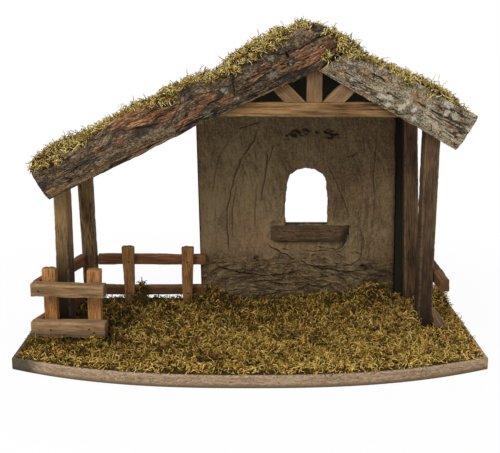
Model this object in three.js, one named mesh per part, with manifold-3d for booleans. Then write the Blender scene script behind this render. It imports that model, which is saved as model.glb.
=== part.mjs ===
// Nativity stable: a gabled lean-to of rough sticks on a bow-fronted board, with a plastered
// back wall, bark fascia slabs, a small truss, fences and moss on the roof and the ground.
// Millimetres, +Z up, front towards -Y. The origin is on the table, under the middle of the board.

import * as THREE from 'three';
import { mergeVertices } from 'three/addons/utils/BufferGeometryUtils.js';
import Module from 'manifold-3d';

const wasm = await Module();
wasm.setup();

// Driving dimensions: ground board
const BOARD_WIDTH = 497;
const BOARD_BACK_WIDTH = 487;
const BOARD_DEPTH = 261;
const BOARD_THICK = 13;
const BOW_RISE = 52;
const BOW_FULLNESS = 2.5;

// Clearance between pieces that touch
const GAP = 0.35;

// Driving dimensions: roof, as lines in the XZ plane
const RIDGE_X = 75;
const RIDGE_Z = 354.6;
const LEFT_PITCH = THREE.MathUtils.degToRad(27);
const RIGHT_PITCH = THREE.MathUtils.degToRad(27.2);
const RIGHT_STEP = 13.8;
const PANEL_DROP = 6;
const PANEL_THICK = 6;
const ROOF_FRONT = -6;
const ROOF_BACK = 126;
const EAVE_LEFT = -233;
const EAVE_RIGHT = 236;

// Driving dimensions: bark slabs, seen from the front as corner points [x, z]
const SLAB_THICK = 12;
const LEFT_SLAB = {
  lower: [[-215, 167.4], [-57, 246], [71.4, 305], [102.5, 326.7]],
  upper: [[-234, 197.4], [RIDGE_X, RIDGE_Z]],
};
const LEFT_SLAB_END = 102.5;
const LEFT_SLAB_END_SLOPE = 1.0145;
const RIGHT_SLAB = {
  lower: [[71.9, 304.3], [218, 221.1]],
  upper: [[103.1, 325.9], [239.8, 256]],
};

// Driving dimensions: truss between the slabs' backs and the front right post
const TRUSS_DEPTH = 14;
const TIE_TOP = 270.8;
const TIE_FOOT = { left: 255.9, right: 254.6 };
const TIE_CUT = 19;
const TIE_LEFT = -60;
const TIE_RIGHT = 205;
const KING_LEFT = 59.6;
const KING_RIGHT = 76.2;
const KING_TOP = 326;
const BRACE_FOOT = 23;

// Driving dimensions: back wall and its window
const WALL_FRONT = 118;
const WALL_BACK = 126;
const WALL_LEFT_FOOT = -59.4;
const WALL_RIGHT_FOOT = 200;
const WALL_LEAN = 0.021;
const WALL_SIDE_HEIGHT = 255;
const PLASTER_THICK = 5;
const PLASTER_TOP = 250;
const PLASTER_FOOT = 16;
const PLASTER_SIDES = { left: -58.4, right: 176.6 };
const WINDOW_LEFT = 42.2;
const WINDOW_RIGHT = 94;
const WINDOW_SILL = 110.8;
const WINDOW_SPRING = 159;
const WINDOW_TOP = 179.2;
const SILL_LOG_LENGTH = 92.5;
const SILL_LOG_HEIGHT = 23;
const SILL_LOG_PROUD = 12;

// Driving dimensions: fences
const BACK_RAIL = { left: -183.2, right: -53.4, front: 102, thick: 10, height: 11.8 };
const BACK_RAIL_TOPS = { top: 75.3, low: 36.4 };
const FRONT_FENCE = { x: -236.3, y: -31.5, turn: -5, length: 80, thick: 15 };
const SIDE_RAIL = { x: -233.2, y: -15.2, turn: 73.9, length: 116.8, thick: 7.5, height: 14 };
const SIDE_RAIL_TOPS = { top: 78, low: 35.2 };
const RIGHT_RAIL = { x: 212, y: -17, turn: 91.7, length: 138, thick: 10.6, height: 14, top: 80 };
const PICKET_WIDTH = 15;
const FRONT_PICKET_THICK = 10;
const BACK_PICKET_THICK = 9;

// Driving dimensions: moss
const GROUND_MOSS = 6.5;
const ROOF_MOSS = 13;
const MOSS_INSET = 3.2;

const WOOD = { roughness: 0.85, metalness: 0 };
const COLOURS = {
  board: 0x8f7c66,
  moss: 0x7a6230,
  plaster: 0x52432f,
  darkBoard: 0x1f1b16,
  bark: 0x4c433b,
  paleBark: 0x7c766c,
  post: 0x5f4c39,
  truss: 0x785b3c,
  rail: 0x836949,
  redRail: 0x4d3422,
  picket: 0x96693c,
  log: 0x4a3b29,
};

// Roof lines: the slabs' upper edges, and the panels' top and underside below them

function leftEdge(x) {
  return RIDGE_Z - (RIDGE_X - x) * Math.tan(LEFT_PITCH);
}

function rightEdge(x) {
  return RIDGE_Z - RIGHT_STEP - (x - RIDGE_X) * Math.tan(RIGHT_PITCH);
}

function underside(edge, pitch) {
  return (x) => edge(x) - PANEL_DROP - PANEL_THICK / Math.cos(pitch);
}

const leftUnder = underside(leftEdge, LEFT_PITCH);
const rightUnder = underside(rightEdge, RIGHT_PITCH);

function roofUnder(x) {
  return Math.min(leftUnder(x), rightUnder(x));
}

// Small helpers

function mix(a, b, t) {
  return a + (b - a) * t;
}

function bump(x, centre, width) {
  return Math.exp(-(((x - centre) / width) ** 2));
}

function range(count) {
  return Array.from({ length: count }, (_, i) => i);
}

function pointOnPath(path, t) {
  const lengths = path.slice(1).map((p, i) => Math.hypot(p[0] - path[i][0], p[1] - path[i][1]));
  const total = lengths.reduce((sum, l) => sum + l, 0);
  let rest = t * total;
  let i = 0;
  while (i < lengths.length - 1 && rest > lengths[i]) {
    rest -= lengths[i];
    i += 1;
  }
  const f = rest / lengths[i];
  return [mix(path[i][0], path[i + 1][0], f), mix(path[i][1], path[i + 1][1], f)];
}

function signedVolume(points, faces) {
  const [a, b, c] = [new THREE.Vector3(), new THREE.Vector3(), new THREE.Vector3()];
  let sum = 0;
  for (let i = 0; i < faces.length; i += 3) {
    a.fromArray(points, 3 * faces[i]);
    b.fromArray(points, 3 * faces[i + 1]);
    c.fromArray(points, 3 * faces[i + 2]);
    sum += a.dot(b.cross(c));
  }
  return sum / 6;
}

// A closed solid through a row of sections. profile(i) gives a section's outline as [u, v]
// points in order, and place(i, u, v) puts a point of it in space. Both ends are capped.
function loft(count, profile, place) {
  const points = [];
  const faces = [];
  const outlines = range(count).map(profile);
  const ring = outlines[0].length;
  outlines.forEach((outline, i) => outline.forEach(([u, v]) => points.push(...place(i, u, v))));
  for (let i = 0; i < count - 1; i += 1) {
    for (let j = 0; j < ring; j += 1) {
      const k = (j + 1) % ring;
      const [a, b, c, d] = [i * ring + j, i * ring + k, (i + 1) * ring + k, (i + 1) * ring + j];
      faces.push(a, b, c, a, c, d);
    }
  }
  [0, count - 1].forEach((i) => {
    const outline = outlines[i].map(([u, v]) => new THREE.Vector2(u, v));
    const forward = THREE.ShapeUtils.isClockWise(outline) !== (i > 0);
    THREE.ShapeUtils.triangulateShape(outline, []).forEach(([a, b, c]) => {
      const [p, q, r] = [a, b, c].map((n) => i * ring + n);
      faces.push(...(forward ? [p, q, r] : [p, r, q]));
    });
  });
  if (signedVolume(points, faces) < 0) faces.reverse();
  const geometry = new THREE.BufferGeometry();
  geometry.setAttribute('position', new THREE.Float32BufferAttribute(points, 3));
  geometry.setIndex(faces);
  return geometry;
}

// The outline of a sawn stick: a rectangle whose arrises are planed off
function stickOutline(width, depth, arris) {
  const [w, d] = [width / 2, depth / 2];
  return [
    [-w + arris, -d], [w - arris, -d], [w, -d + arris], [w, d - arris],
    [w - arris, d], [-w + arris, d], [-w, d - arris], [-w, -d + arris],
  ];
}

// A rough stick along its own +Z from zero. size(t) gives [width, depth] at the height t of
// 0 to 1, sway(t) the middle's shift in X, and top(x, y) the height of the end cut.
function stick({ size, sway, top }) {
  const rows = 9;
  const arris = 1.4;
  const outline = (i) => stickOutline(...size(i / (rows - 1)), arris);
  return loft(rows, outline, (i, u, v) => {
    const t = i / (rows - 1);
    const x = u + sway(t);
    return [x, v, t * top(x, v)];
  });
}

// A stick laid along +X from zero. Its far end is cut square, or at a slant of 'slant' mm per mm.
function rail({ length, height, thick, slant = 0, phase }) {
  const rows = 9;
  const arris = 1.1;
  const wave = 0.3;
  const outline = (i) => stickOutline(thick, height + wave * Math.sin(1.7 * i + phase), arris);
  return loft(rows, outline, (i, u, v) => {
    const t = i / (rows - 1);
    return [t * (length + slant * u), u, v + wave * Math.sin(0.8 * i + phase)];
  });
}

// A fence picket: a stick with a softly rounded head, tapered to its foot
function picket({ height, footWidth, thick, phase }) {
  const arris = 1.5;
  const heads = [
    [0, 1], [0.25, 1], [0.5, 1], [0.75, 1], [1 - 4 / height, 1], [1 - 1.4 / height, 0.94], [1, 0.8],
  ];
  const outline = (i) => {
    const [t, head] = heads[i];
    return stickOutline(mix(footWidth, PICKET_WIDTH, t) * head, thick * head, arris);
  };
  return loft(heads.length, outline, (i, u, v) => {
    const t = heads[i][0];
    return [u + 0.4 * Math.sin(5 * t + phase), v, t * height];
  });
}

// Cutting and joining

function toManifold(geometry) {
  const bare = geometry.clone();
  bare.deleteAttribute('normal');
  bare.deleteAttribute('uv');
  const merged = mergeVertices(bare);
  return new wasm.Manifold(new wasm.Mesh({
    numProp: 3,
    vertProperties: Float32Array.from(merged.attributes.position.array),
    triVerts: Uint32Array.from(merged.index.array),
  }));
}

function toGeometry(solid) {
  const mesh = solid.getMesh();
  const geometry = new THREE.BufferGeometry();
  geometry.setAttribute('position', new THREE.BufferAttribute(mesh.vertProperties, 3));
  geometry.setIndex(new THREE.BufferAttribute(mesh.triVerts, 1));
  return geometry;
}

function cut(geometry, tools) {
  const solid = tools.reduce((left, tool) => left.subtract(toManifold(tool)), toManifold(geometry));
  return toGeometry(solid);
}

function cutterBox(x0, x1, y0, y1, z0, z1) {
  const box = new THREE.BoxGeometry(x1 - x0, y1 - y0, z1 - z0);
  return box.translate((x0 + x1) / 2, (y0 + y1) / 2, (z0 + z1) / 2);
}

// The scene graph

const stable = new THREE.Group();

function add(name, geometry, color, parent = stable) {
  const material = new THREE.MeshStandardMaterial({ color, ...WOOD });
  const mesh = new THREE.Mesh(geometry, material);
  mesh.name = name;
  parent.add(mesh);
  return mesh;
}

function place(mesh, x, y, z, turn = 0) {
  mesh.position.set(x, y, z);
  mesh.rotation.z = THREE.MathUtils.degToRad(turn);
  return mesh;
}

// Ground board: straight back and sides that draw in a little, and a bowed front edge that is
// fuller towards the corners than an arc

function frontEdge(x) {
  return BOW_RISE * Math.abs((2 * x) / BOARD_WIDTH) ** BOW_FULLNESS - BOARD_DEPTH / 2;
}

function boardShape() {
  const steps = 48;
  const shape = new THREE.Shape();
  shape.moveTo(BOARD_BACK_WIDTH / 2, BOARD_DEPTH / 2);
  shape.lineTo(-BOARD_BACK_WIDTH / 2, BOARD_DEPTH / 2);
  range(steps + 1).forEach((i) => {
    const x = (i / steps - 0.5) * BOARD_WIDTH;
    shape.lineTo(x, frontEdge(x));
  });
  shape.closePath();
  return shape;
}

function groundBoard() {
  const bevel = 0.8;
  const geometry = new THREE.ExtrudeGeometry(boardShape(), {
    depth: BOARD_THICK - 2 * bevel,
    bevelEnabled: true,
    bevelSize: bevel,
    bevelOffset: -bevel,
    bevelThickness: bevel,
    bevelSegments: 1,
  });
  return geometry.translate(0, 0, bevel);
}

// Posts: rough sticks on the board, cut at the top to the slope of the roof panel they carry

function post({ x, y, width, depth, turn, lean, under, phase }) {
  const angle = THREE.MathUtils.degToRad(turn);
  const size = (t) => [
    width + 0.35 * Math.sin(6 * t + phase),
    depth + 0.35 * Math.sin(5 * t + 2 * phase),
  ];
  const height = under(x) - BOARD_THICK;
  const top = (u, v) => under(x + u * Math.cos(angle) - v * Math.sin(angle)) - BOARD_THICK - GAP;
  const sway = (t) => lean * t * height + 0.5 * Math.sin(Math.PI * t) * Math.cos(phase);
  return stick({ size, sway, top });
}

const POSTS = [
  { name: 'front_left_post', x: -207.7, y: 19, width: 15, depth: 20, turn: -8.8, lean: 0.004,
    under: leftUnder, phase: 0.4 },
  { name: 'back_left_post', x: -191.9, y: 107, width: 16.6, depth: 18, turn: 0, lean: -0.022,
    under: leftUnder, phase: 1.9 },
  { name: 'front_right_post', x: 195.9, y: 18.9, width: 16.6, depth: 20, turn: 4, lean: 0.006,
    under: rightUnder, phase: 3.1 },
  { name: 'rear_right_post', x: 196.6, y: 109, width: 16.8, depth: 17.4, turn: 0, lean: -0.04,
    under: rightUnder, phase: 4.6 },
];

function addPosts() {
  POSTS.forEach((spec) => {
    place(add(spec.name, post(spec), COLOURS.post), spec.x, spec.y, BOARD_THICK, spec.turn);
  });
}

// Roof panels: thin boards from behind the slabs to the back of the wall. The right one
// runs up under the left one at the ridge.

function panel(edge, pitch, from, to) {
  const shape = new THREE.Shape();
  const thick = PANEL_THICK / Math.cos(pitch);
  shape.moveTo(from, edge(from) - PANEL_DROP - thick);
  shape.lineTo(to, edge(to) - PANEL_DROP - thick);
  shape.lineTo(to, edge(to) - PANEL_DROP);
  shape.lineTo(from, edge(from) - PANEL_DROP);
  const depth = ROOF_BACK - ROOF_FRONT;
  const geometry = new THREE.ExtrudeGeometry(shape, { depth, bevelEnabled: false });
  return geometry.rotateX(Math.PI / 2).translate(0, ROOF_BACK, 0);
}

function ridgeMeet() {
  const step = leftUnder(RIDGE_X) - (rightEdge(RIDGE_X) - PANEL_DROP);
  return RIDGE_X - (step - GAP) / (Math.tan(LEFT_PITCH) + Math.tan(RIGHT_PITCH));
}

function addRoofPanels() {
  add('left_roof_panel', panel(leftEdge, LEFT_PITCH, EAVE_LEFT, RIDGE_X), COLOURS.post);
  add('right_roof_panel', panel(rightEdge, RIGHT_PITCH, ridgeMeet(), EAVE_RIGHT), COLOURS.post);
}

// Bark slabs: waney fascia boards with a flat back. The front swells, thins to both long
// edges and is furrowed along its length. The right one is cut off along the left one.

function barkFront(s, t, length, phase) {
  const along = s * length;
  const swell = 1 - Math.abs(2 * t - 1) ** 3.2;
  const furrow = Math.sin(19 * t + 1.3 * Math.sin(along / 31 + phase) + along / 90);
  const knots = Math.sin(along / 17 + phase) * Math.sin(7 * t + along / 41);
  return mix(0.42, 1, swell) * SLAB_THICK + swell * (0.9 * furrow + 0.7 * knots);
}

function barkSlab({ lower, upper }, phase) {
  const rows = 46;
  const lines = 11;
  const length = Math.hypot(upper[1][0] - upper[0][0], upper[1][1] - upper[0][1]);
  const outline = (i) => {
    const s = i / (rows - 1);
    const front = range(lines).map((j) => [j / (lines - 1), j / (lines - 1)]);
    const depths = front.map(([t]) => [t, barkFront(s, t, length, phase)]);
    return [...depths, [1, 0], [0, 0]];
  };
  const geometry = loft(rows, outline, (i, t, proud) => {
    const s = i / (rows - 1);
    const edge = Math.sin(Math.PI * s);
    const wane = edge * (1.3 * Math.sin(s * length / 13 + phase) + 0.8 * Math.sin(s * length / 5.1));
    const [x0, z0] = pointOnPath(lower, s);
    const [x1, z1] = pointOnPath(upper, s);
    const z = mix(z0, z1, t) + wane * (1 - t) ** 4;
    return [mix(x0, x1, t), ROOF_FRONT - proud, z];
  });
  return geometry;
}

function addBarkSlabs() {
  add('left_bark_slab', barkSlab(LEFT_SLAB, 0.6), COLOURS.bark);
  add('right_bark_slab', barkSlab(RIGHT_SLAB, 2.7), COLOURS.paleBark);
}

// Truss: tie beam, king post and two braces, nailed to the backs of the slabs

function flatTimber(corners, depth) {
  const bevel = 0.9;
  const shape = new THREE.Shape(corners.map(([x, z]) => new THREE.Vector2(x, z)));
  const geometry = new THREE.ExtrudeGeometry(shape, {
    depth: depth - 2 * bevel,
    bevelEnabled: true,
    bevelSize: bevel,
    bevelOffset: -bevel,
    bevelThickness: bevel,
    bevelSegments: 1,
  });
  return geometry.rotateX(Math.PI / 2).translate(0, ROOF_FRONT + depth - bevel, 0);
}

function tieBeam() {
  return flatTimber([
    [TIE_LEFT, TIE_FOOT.left], [TIE_RIGHT, TIE_FOOT.right], [TIE_RIGHT, TIE_FOOT.right + 2],
    [TIE_RIGHT - TIE_CUT, TIE_TOP], [TIE_LEFT, TIE_TOP],
  ], TRUSS_DEPTH);
}

function kingPost() {
  return flatTimber([
    [KING_LEFT, TIE_TOP], [KING_RIGHT, TIE_TOP], [KING_RIGHT - 0.5, KING_TOP], [KING_LEFT, KING_TOP],
  ], TRUSS_DEPTH - 2);
}

// A brace rises at 45 degrees from its foot on the tie beam to the roof panel
function brace(foot, side, under) {
  const pitch = (under(foot + side) - under(foot)) / side;
  const reach = (x) => (under(x) - GAP - TIE_TOP) / (1 - side * pitch);
  const outer = foot + side * BRACE_FOOT;
  const [near, far] = [reach(foot), reach(outer)];
  const corners = [
    [foot, TIE_TOP], [outer, TIE_TOP],
    [outer + side * far, TIE_TOP + far], [foot + side * near, TIE_TOP + near],
  ];
  return flatTimber(side > 0 ? corners : corners.reverse(), TRUSS_DEPTH - 3);
}

function addTruss() {
  add('tie_beam', tieBeam(), COLOURS.truss);
  add('king_post', kingPost(), COLOURS.truss);
  add('left_brace', brace(KING_LEFT - GAP, -1, leftUnder), COLOURS.truss);
  add('right_brace', brace(KING_RIGHT + GAP, 1, rightUnder), COLOURS.truss);
}

// Back wall: a dark gabled board, plastered in front below the truss, with one arched window

function windowShape(grow = 0) {
  const [left, right] = [WINDOW_LEFT - grow, WINDOW_RIGHT + grow];
  const rise = WINDOW_TOP + grow - WINDOW_SPRING;
  const shape = new THREE.Shape();
  shape.moveTo(left, WINDOW_SILL - grow);
  shape.lineTo(right, WINDOW_SILL - grow);
  shape.lineTo(right, WINDOW_SPRING);
  shape.absellipse((left + right) / 2, WINDOW_SPRING, (right - left) / 2, rise, 0, Math.PI, false, 0);
  shape.closePath();
  return shape;
}

function windowCutter(grow) {
  const geometry = new THREE.ExtrudeGeometry(windowShape(grow), {
    depth: 60,
    bevelEnabled: false,
    curveSegments: 14,
  });
  return geometry.rotateX(Math.PI / 2).translate(0, WALL_BACK + 20, 0);
}

function gableApex() {
  const step = leftUnder(RIDGE_X) - rightUnder(RIDGE_X);
  return RIDGE_X - step / (Math.tan(LEFT_PITCH) + Math.tan(RIGHT_PITCH));
}

function wallBoard() {
  const leftTop = WALL_LEFT_FOOT - WALL_SIDE_HEIGHT * WALL_LEAN;
  const rightTop = WALL_RIGHT_FOOT - WALL_SIDE_HEIGHT * WALL_LEAN;
  const shape = new THREE.Shape();
  shape.moveTo(WALL_LEFT_FOOT, BOARD_THICK);
  shape.lineTo(WALL_RIGHT_FOOT, BOARD_THICK);
  shape.lineTo(rightTop, roofUnder(rightTop) - GAP);
  shape.lineTo(gableApex(), roofUnder(gableApex()) - GAP);
  shape.lineTo(leftTop, roofUnder(leftTop) - GAP);
  const depth = WALL_BACK - WALL_FRONT;
  const geometry = new THREE.ExtrudeGeometry(shape, { depth, bevelEnabled: false });
  geometry.rotateX(Math.PI / 2).translate(0, WALL_BACK, 0);
  return cut(geometry, [windowCutter(0)]);
}

// Height of the trowelled surface: long arcs swept up the wall, and level swirls near its foot
function trowel(x, z) {
  const arcs = Math.sin((x + 0.0022 * (z - 150) ** 2) / 5.2) * bump(z, 190, 70);
  const swirls = Math.sin((z + 6 * Math.sin(x / 33)) / 4.6) * bump(z, 60, 55);
  return 0.35 * arcs + 0.3 * swirls;
}

function plasterSkin() {
  const columns = 44;
  const rows = 26;
  const { left, right } = PLASTER_SIDES;
  const edgeX = (t, z) => mix(left, right, t) - WALL_LEAN * (z - BOARD_THICK);
  const outline = (i) => {
    const t = i / (columns - 1);
    const top = PLASTER_TOP + 1.5 * Math.sin(9 * t) + 0.8 * Math.sin(31 * t);
    const front = range(rows).map((j) => {
      const z = mix(PLASTER_FOOT, top, j / (rows - 1));
      const rim = Math.min(1, (z - PLASTER_FOOT + 3) / 8, (top - z + 2) / 7);
      const side = Math.min(1, (t + 0.012) * 30, (1.012 - t) * 30);
      return [PLASTER_THICK * (0.35 + 0.65 * rim * side) + trowel(edgeX(t, z), z), z];
    });
    return [...front, [0, top], [0, PLASTER_FOOT]];
  };
  const skin = loft(columns, outline, (i, proud, z) => {
    const t = i / (columns - 1);
    return [edgeX(t, z), WALL_FRONT - proud, z];
  });
  return cut(skin, [windowCutter(0.6), sillLog(GAP).translate(...SILL_LOG_AT)]);
}

// Window sill: a split log, bark side out, chopped off at a slant on the right
const SILL_LOG_AT = [25, WALL_FRONT - PLASTER_THICK, WINDOW_SILL - SILL_LOG_HEIGHT / 2 + 1.2];

function sillLog(grow = 0) {
  const rows = 14;
  const arc = 9;
  const outline = (i) => {
    const girth = 1 + 0.05 * Math.sin(1.9 * i) - 0.06 * (i / rows);
    const round = range(arc).map((j) => {
      const a = Math.PI * (j / (arc - 1)) - Math.PI / 2;
      const radius = girth * (1 + 0.05 * Math.sin(3 * a + i));
      return [
        -(SILL_LOG_PROUD * radius * Math.cos(a) + grow),
        (SILL_LOG_HEIGHT / 2 * radius + grow) * Math.sin(a),
      ];
    });
    return [...round, [1 + grow, round[arc - 1][1]], [1 + grow, round[0][1]]];
  };
  return loft(rows, outline, (i, y, z) => {
    const t = i / (rows - 1);
    const slant = t === 1 ? 0.25 * y : 0;
    return [mix(-grow, SILL_LOG_LENGTH + grow, t) + slant, y, z];
  });
}

function addWall() {
  add('wall_board', wallBoard(), COLOURS.darkBoard);
  add('wall_plaster', plasterSkin(), COLOURS.plaster);
  add('window_sill_log', sillLog().translate(...SILL_LOG_AT), COLOURS.log);
}

// Back fence of the left bay, between the back left post and the wall

function addBackFence() {
  const { left, right, front, thick, height } = BACK_RAIL;
  Object.entries(BACK_RAIL_TOPS).forEach(([level, top], i) => {
    const bar = rail({ length: right - left + i, height, thick, phase: 2 * i });
    const mesh = add(`back_fence_${level}_rail`, bar, COLOURS.redRail);
    place(mesh, left, front + thick / 2, top - height / 2);
  });
  const pickets = [
    { name: 'back_fence_left_picket', x: -145.6, top: 88.1 },
    { name: 'back_fence_right_picket', x: -75.1, top: 87.4 },
  ];
  pickets.forEach(({ name, x, top }, i) => {
    const pale = picket({
      height: top - BOARD_THICK, footWidth: 11, thick: BACK_PICKET_THICK, phase: 3 * i,
    });
    place(add(name, pale, COLOURS.picket), x, front - BACK_PICKET_THICK / 2 - GAP, BOARD_THICK);
  });
}

// Front fence: two stout rails before two pickets, turned a little towards the middle

function addFrontFence() {
  const fence = new THREE.Group();
  fence.position.set(FRONT_FENCE.x, FRONT_FENCE.y, 0);
  fence.rotation.z = THREE.MathUtils.degToRad(FRONT_FENCE.turn);
  stable.add(fence);
  const rails = [
    { name: 'front_fence_top_rail', top: 78.4, height: 13.8, length: FRONT_FENCE.length },
    { name: 'front_fence_low_rail', top: 36, height: 17.4, length: FRONT_FENCE.length + 1.5 },
  ];
  rails.forEach(({ name, top, height, length }, i) => {
    const bar = rail({ length, height, thick: FRONT_FENCE.thick, phase: 1 + 2 * i });
    place(add(name, bar, COLOURS.rail, fence), -1.5 * i, FRONT_FENCE.thick / 2, top - height / 2);
  });
  const pickets = [
    { name: 'front_fence_left_picket', x: 16.3, top: 92.2 },
    { name: 'front_fence_right_picket', x: 65.6, top: 92 },
  ];
  pickets.forEach(({ name, x, top }, i) => {
    const pale = picket({
      height: top - BOARD_THICK, footWidth: 14, thick: FRONT_PICKET_THICK, phase: 2 * i,
    });
    const y = FRONT_FENCE.thick + FRONT_PICKET_THICK / 2 + GAP;
    place(add(name, pale, COLOURS.picket, fence), x, y, BOARD_THICK);
  });
}

// Side rails: two on the left, from the front fence past the front post to the back post,
// and one on the right along the outer faces of both posts

function addSideRails() {
  const slant = Math.tan(THREE.MathUtils.degToRad(90 - SIDE_RAIL.turn));
  Object.entries(SIDE_RAIL_TOPS).forEach(([level, top], i) => {
    const bar = rail({ ...SIDE_RAIL, slant, phase: 4 * i });
    const mesh = add(`left_side_${level}_rail`, bar, COLOURS.redRail);
    place(mesh, SIDE_RAIL.x, SIDE_RAIL.y, top - SIDE_RAIL.height / 2, SIDE_RAIL.turn);
  });
  const mesh = add('right_side_rail', rail({ ...RIGHT_RAIL, phase: 5 }), COLOURS.redRail);
  const middle = RIGHT_RAIL.top - RIGHT_RAIL.height / 2;
  place(mesh, RIGHT_RAIL.x, RIGHT_RAIL.y, middle, RIGHT_RAIL.turn);
}

// Ground moss: a lumpy mat that thins to the board's edge, banked up at the wall's two ends,
// with a hole for each piece that stands in it

function lumps(x, y) {
  const waves = Math.sin(x / 11 + 2 * Math.sin(y / 23)) * Math.cos(y / 9 + Math.sin(x / 17));
  return waves + 0.6 * Math.sin(x / 5.3 + y / 7.1);
}

function groundMossHeight(x, y, toEdge) {
  const banks = 9 * bump(x, 218, 24) * bump(y, 92, 26) + 6 * bump(x, -62, 11) * bump(y, 104, 12);
  const full = GROUND_MOSS + 1.1 * lumps(x, y) + banks;
  const edge = Math.min(1, Math.max(0.28, toEdge / 11));
  return full * edge;
}

// The mat's columns lie closer together towards the sides, where it thins out
function groundMoss() {
  const columns = 56;
  const lines = 25;
  const half = BOARD_WIDTH / 2 - MOSS_INSET;
  const back = BOARD_DEPTH / 2 - 2;
  const sideDraw = (BOARD_WIDTH - BOARD_BACK_WIDTH) / 2 / (BOARD_DEPTH - BOW_RISE);
  const reach = 0.86 * (Math.PI / 2);
  const columnX = (i) => (half * Math.sin(reach * ((2 * i) / (columns - 1) - 1))) / Math.sin(reach);
  const outline = (i) => {
    const x = columnX(i);
    const front = frontEdge(x) + MOSS_INSET;
    const top = range(lines).map((j) => {
      const y = mix(front, back, j / (lines - 1));
      const toEdge = Math.min(y - front, back - y, half - Math.abs(x)) + 1.5;
      return [y, BOARD_THICK + groundMossHeight(x, y, toEdge)];
    });
    return [...top, [back, BOARD_THICK], [front, BOARD_THICK]];
  };
  return loft(columns, outline, (i, y, z) => {
    const x = columnX(i);
    const draw = 1 - (Math.max(0, y + BOARD_DEPTH / 2 - BOW_RISE) * sideDraw) / half;
    return [x * draw, y, z];
  });
}

// The footprint of a standing piece, grown a little, as a cutter through the moss
function footprintCutter(mesh) {
  mesh.updateWorldMatrix(true, false);
  const box = new THREE.Box3().setFromObject(new THREE.Mesh(mesh.geometry));
  const grow = 2 * GAP;
  const size = box.getSize(new THREE.Vector3()).addScalar(2 * grow);
  const middle = box.getCenter(new THREE.Vector3());
  const block = new THREE.BoxGeometry(size.x, size.y, size.z);
  block.translate(middle.x, middle.y, middle.z);
  return block.applyMatrix4(mesh.matrixWorld);
}

const STANDING = [
  'front_left_post', 'back_left_post', 'front_right_post', 'rear_right_post',
  'back_fence_left_picket', 'back_fence_right_picket', 'back_fence_low_rail',
  'front_fence_left_picket', 'front_fence_right_picket', 'front_fence_low_rail',
  'left_side_low_rail',
];

function addGroundMoss() {
  const cutters = STANDING.map((name) => footprintCutter(stable.getObjectByName(name)));
  const front = WALL_FRONT - PLASTER_THICK - 2 * GAP;
  const behind = BOARD_DEPTH / 2 + 5;
  const wall = cutterBox(WALL_LEFT_FOOT - 2, WALL_RIGHT_FOOT + 1, front, behind, 5, 60);
  add('moss_floor', cut(groundMoss(), [...cutters, wall]), COLOURS.moss);
}

// Roof moss: a thick lumpy mat on each panel, which rolls over the slab's upper edge. The mat
// runs out over a length at either end, from the part of its height that it ends with.

function roofMossHeight(x, y) {
  const mounds = 6 * bump(x, 0, 34) + 5 * bump(x, -195, 30) + 7 * bump(x, 104, 30);
  return ROOF_MOSS + mounds + 1.4 * lumps(x + 40, y);
}

// Upper edge of whichever slab lies before the right panel at x
function rightSlabTop(x) {
  if (x > LEFT_SLAB_END) return rightEdge(x);
  return Math.max(rightEdge(x), RIDGE_Z - (x - RIDGE_X) * LEFT_SLAB_END_SLOPE);
}

function roofMoss({ edge, slabTop, from, to, start, end }) {
  const columns = 34;
  const lines = 15;
  const front = ROOF_FRONT - SLAB_THICK - 0.5;
  const outline = (i) => {
    const x = mix(from, to, i / (columns - 1));
    const base = edge(x) - PANEL_DROP + GAP;
    const over = slabTop(x) + 0.6;
    const ends = Math.min(
      1,
      start.height + (x - from) / start.length,
      end.height + (to - x) / end.length,
    );
    const top = range(lines).map((j) => {
      const y = mix(front, ROOF_BACK - 1, (j / (lines - 1)) ** 1.2);
      const rim = Math.min(1, (y - front + 2.5) / 9, (ROOF_BACK + 2 - y) / 12);
      const height = roofMossHeight(x, y) * ends * rim;
      return [y, Math.max(base + height, over + 1.2)];
    });
    return [
      ...top,
      [ROOF_BACK - 1, base], [ROOF_FRONT + 0.2, base], [ROOF_FRONT + 0.2, over], [front, over],
    ];
  };
  return loft(columns, outline, (i, y, z) => [mix(from, to, i / (columns - 1)), y, z]);
}

function addRoofMoss() {
  const left = roofMoss({
    edge: leftEdge,
    slabTop: leftEdge,
    from: EAVE_LEFT - 3,
    to: RIDGE_X,
    start: { height: 0.5, length: 12 },
    end: { height: 0.5, length: 20 },
  });
  const right = roofMoss({
    edge: rightEdge,
    slabTop: rightSlabTop,
    from: RIDGE_X + GAP,
    to: EAVE_RIGHT + 2,
    start: { height: 1, length: 12 },
    end: { height: 0.12, length: 26 },
  });
  add('left_roof_moss', left, COLOURS.moss);
  add('right_roof_moss', right, COLOURS.moss);
}

add('base_board', groundBoard(), COLOURS.board);
addPosts();
addRoofPanels();
addBarkSlabs();
addTruss();
addWall();
addBackFence();
addFrontFence();
addSideRails();
addGroundMoss();
addRoofMoss();

export default stable;
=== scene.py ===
"""Looks of a small crib stable: bark slabs, sawn sticks, trowelled plaster and dried moss.

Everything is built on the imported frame. Lengths are in millimetres until a mesh is made.
"""

import logging
import math
from dataclasses import dataclass, field
from enum import Enum
from typing import Any, Callable, Iterable

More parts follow.
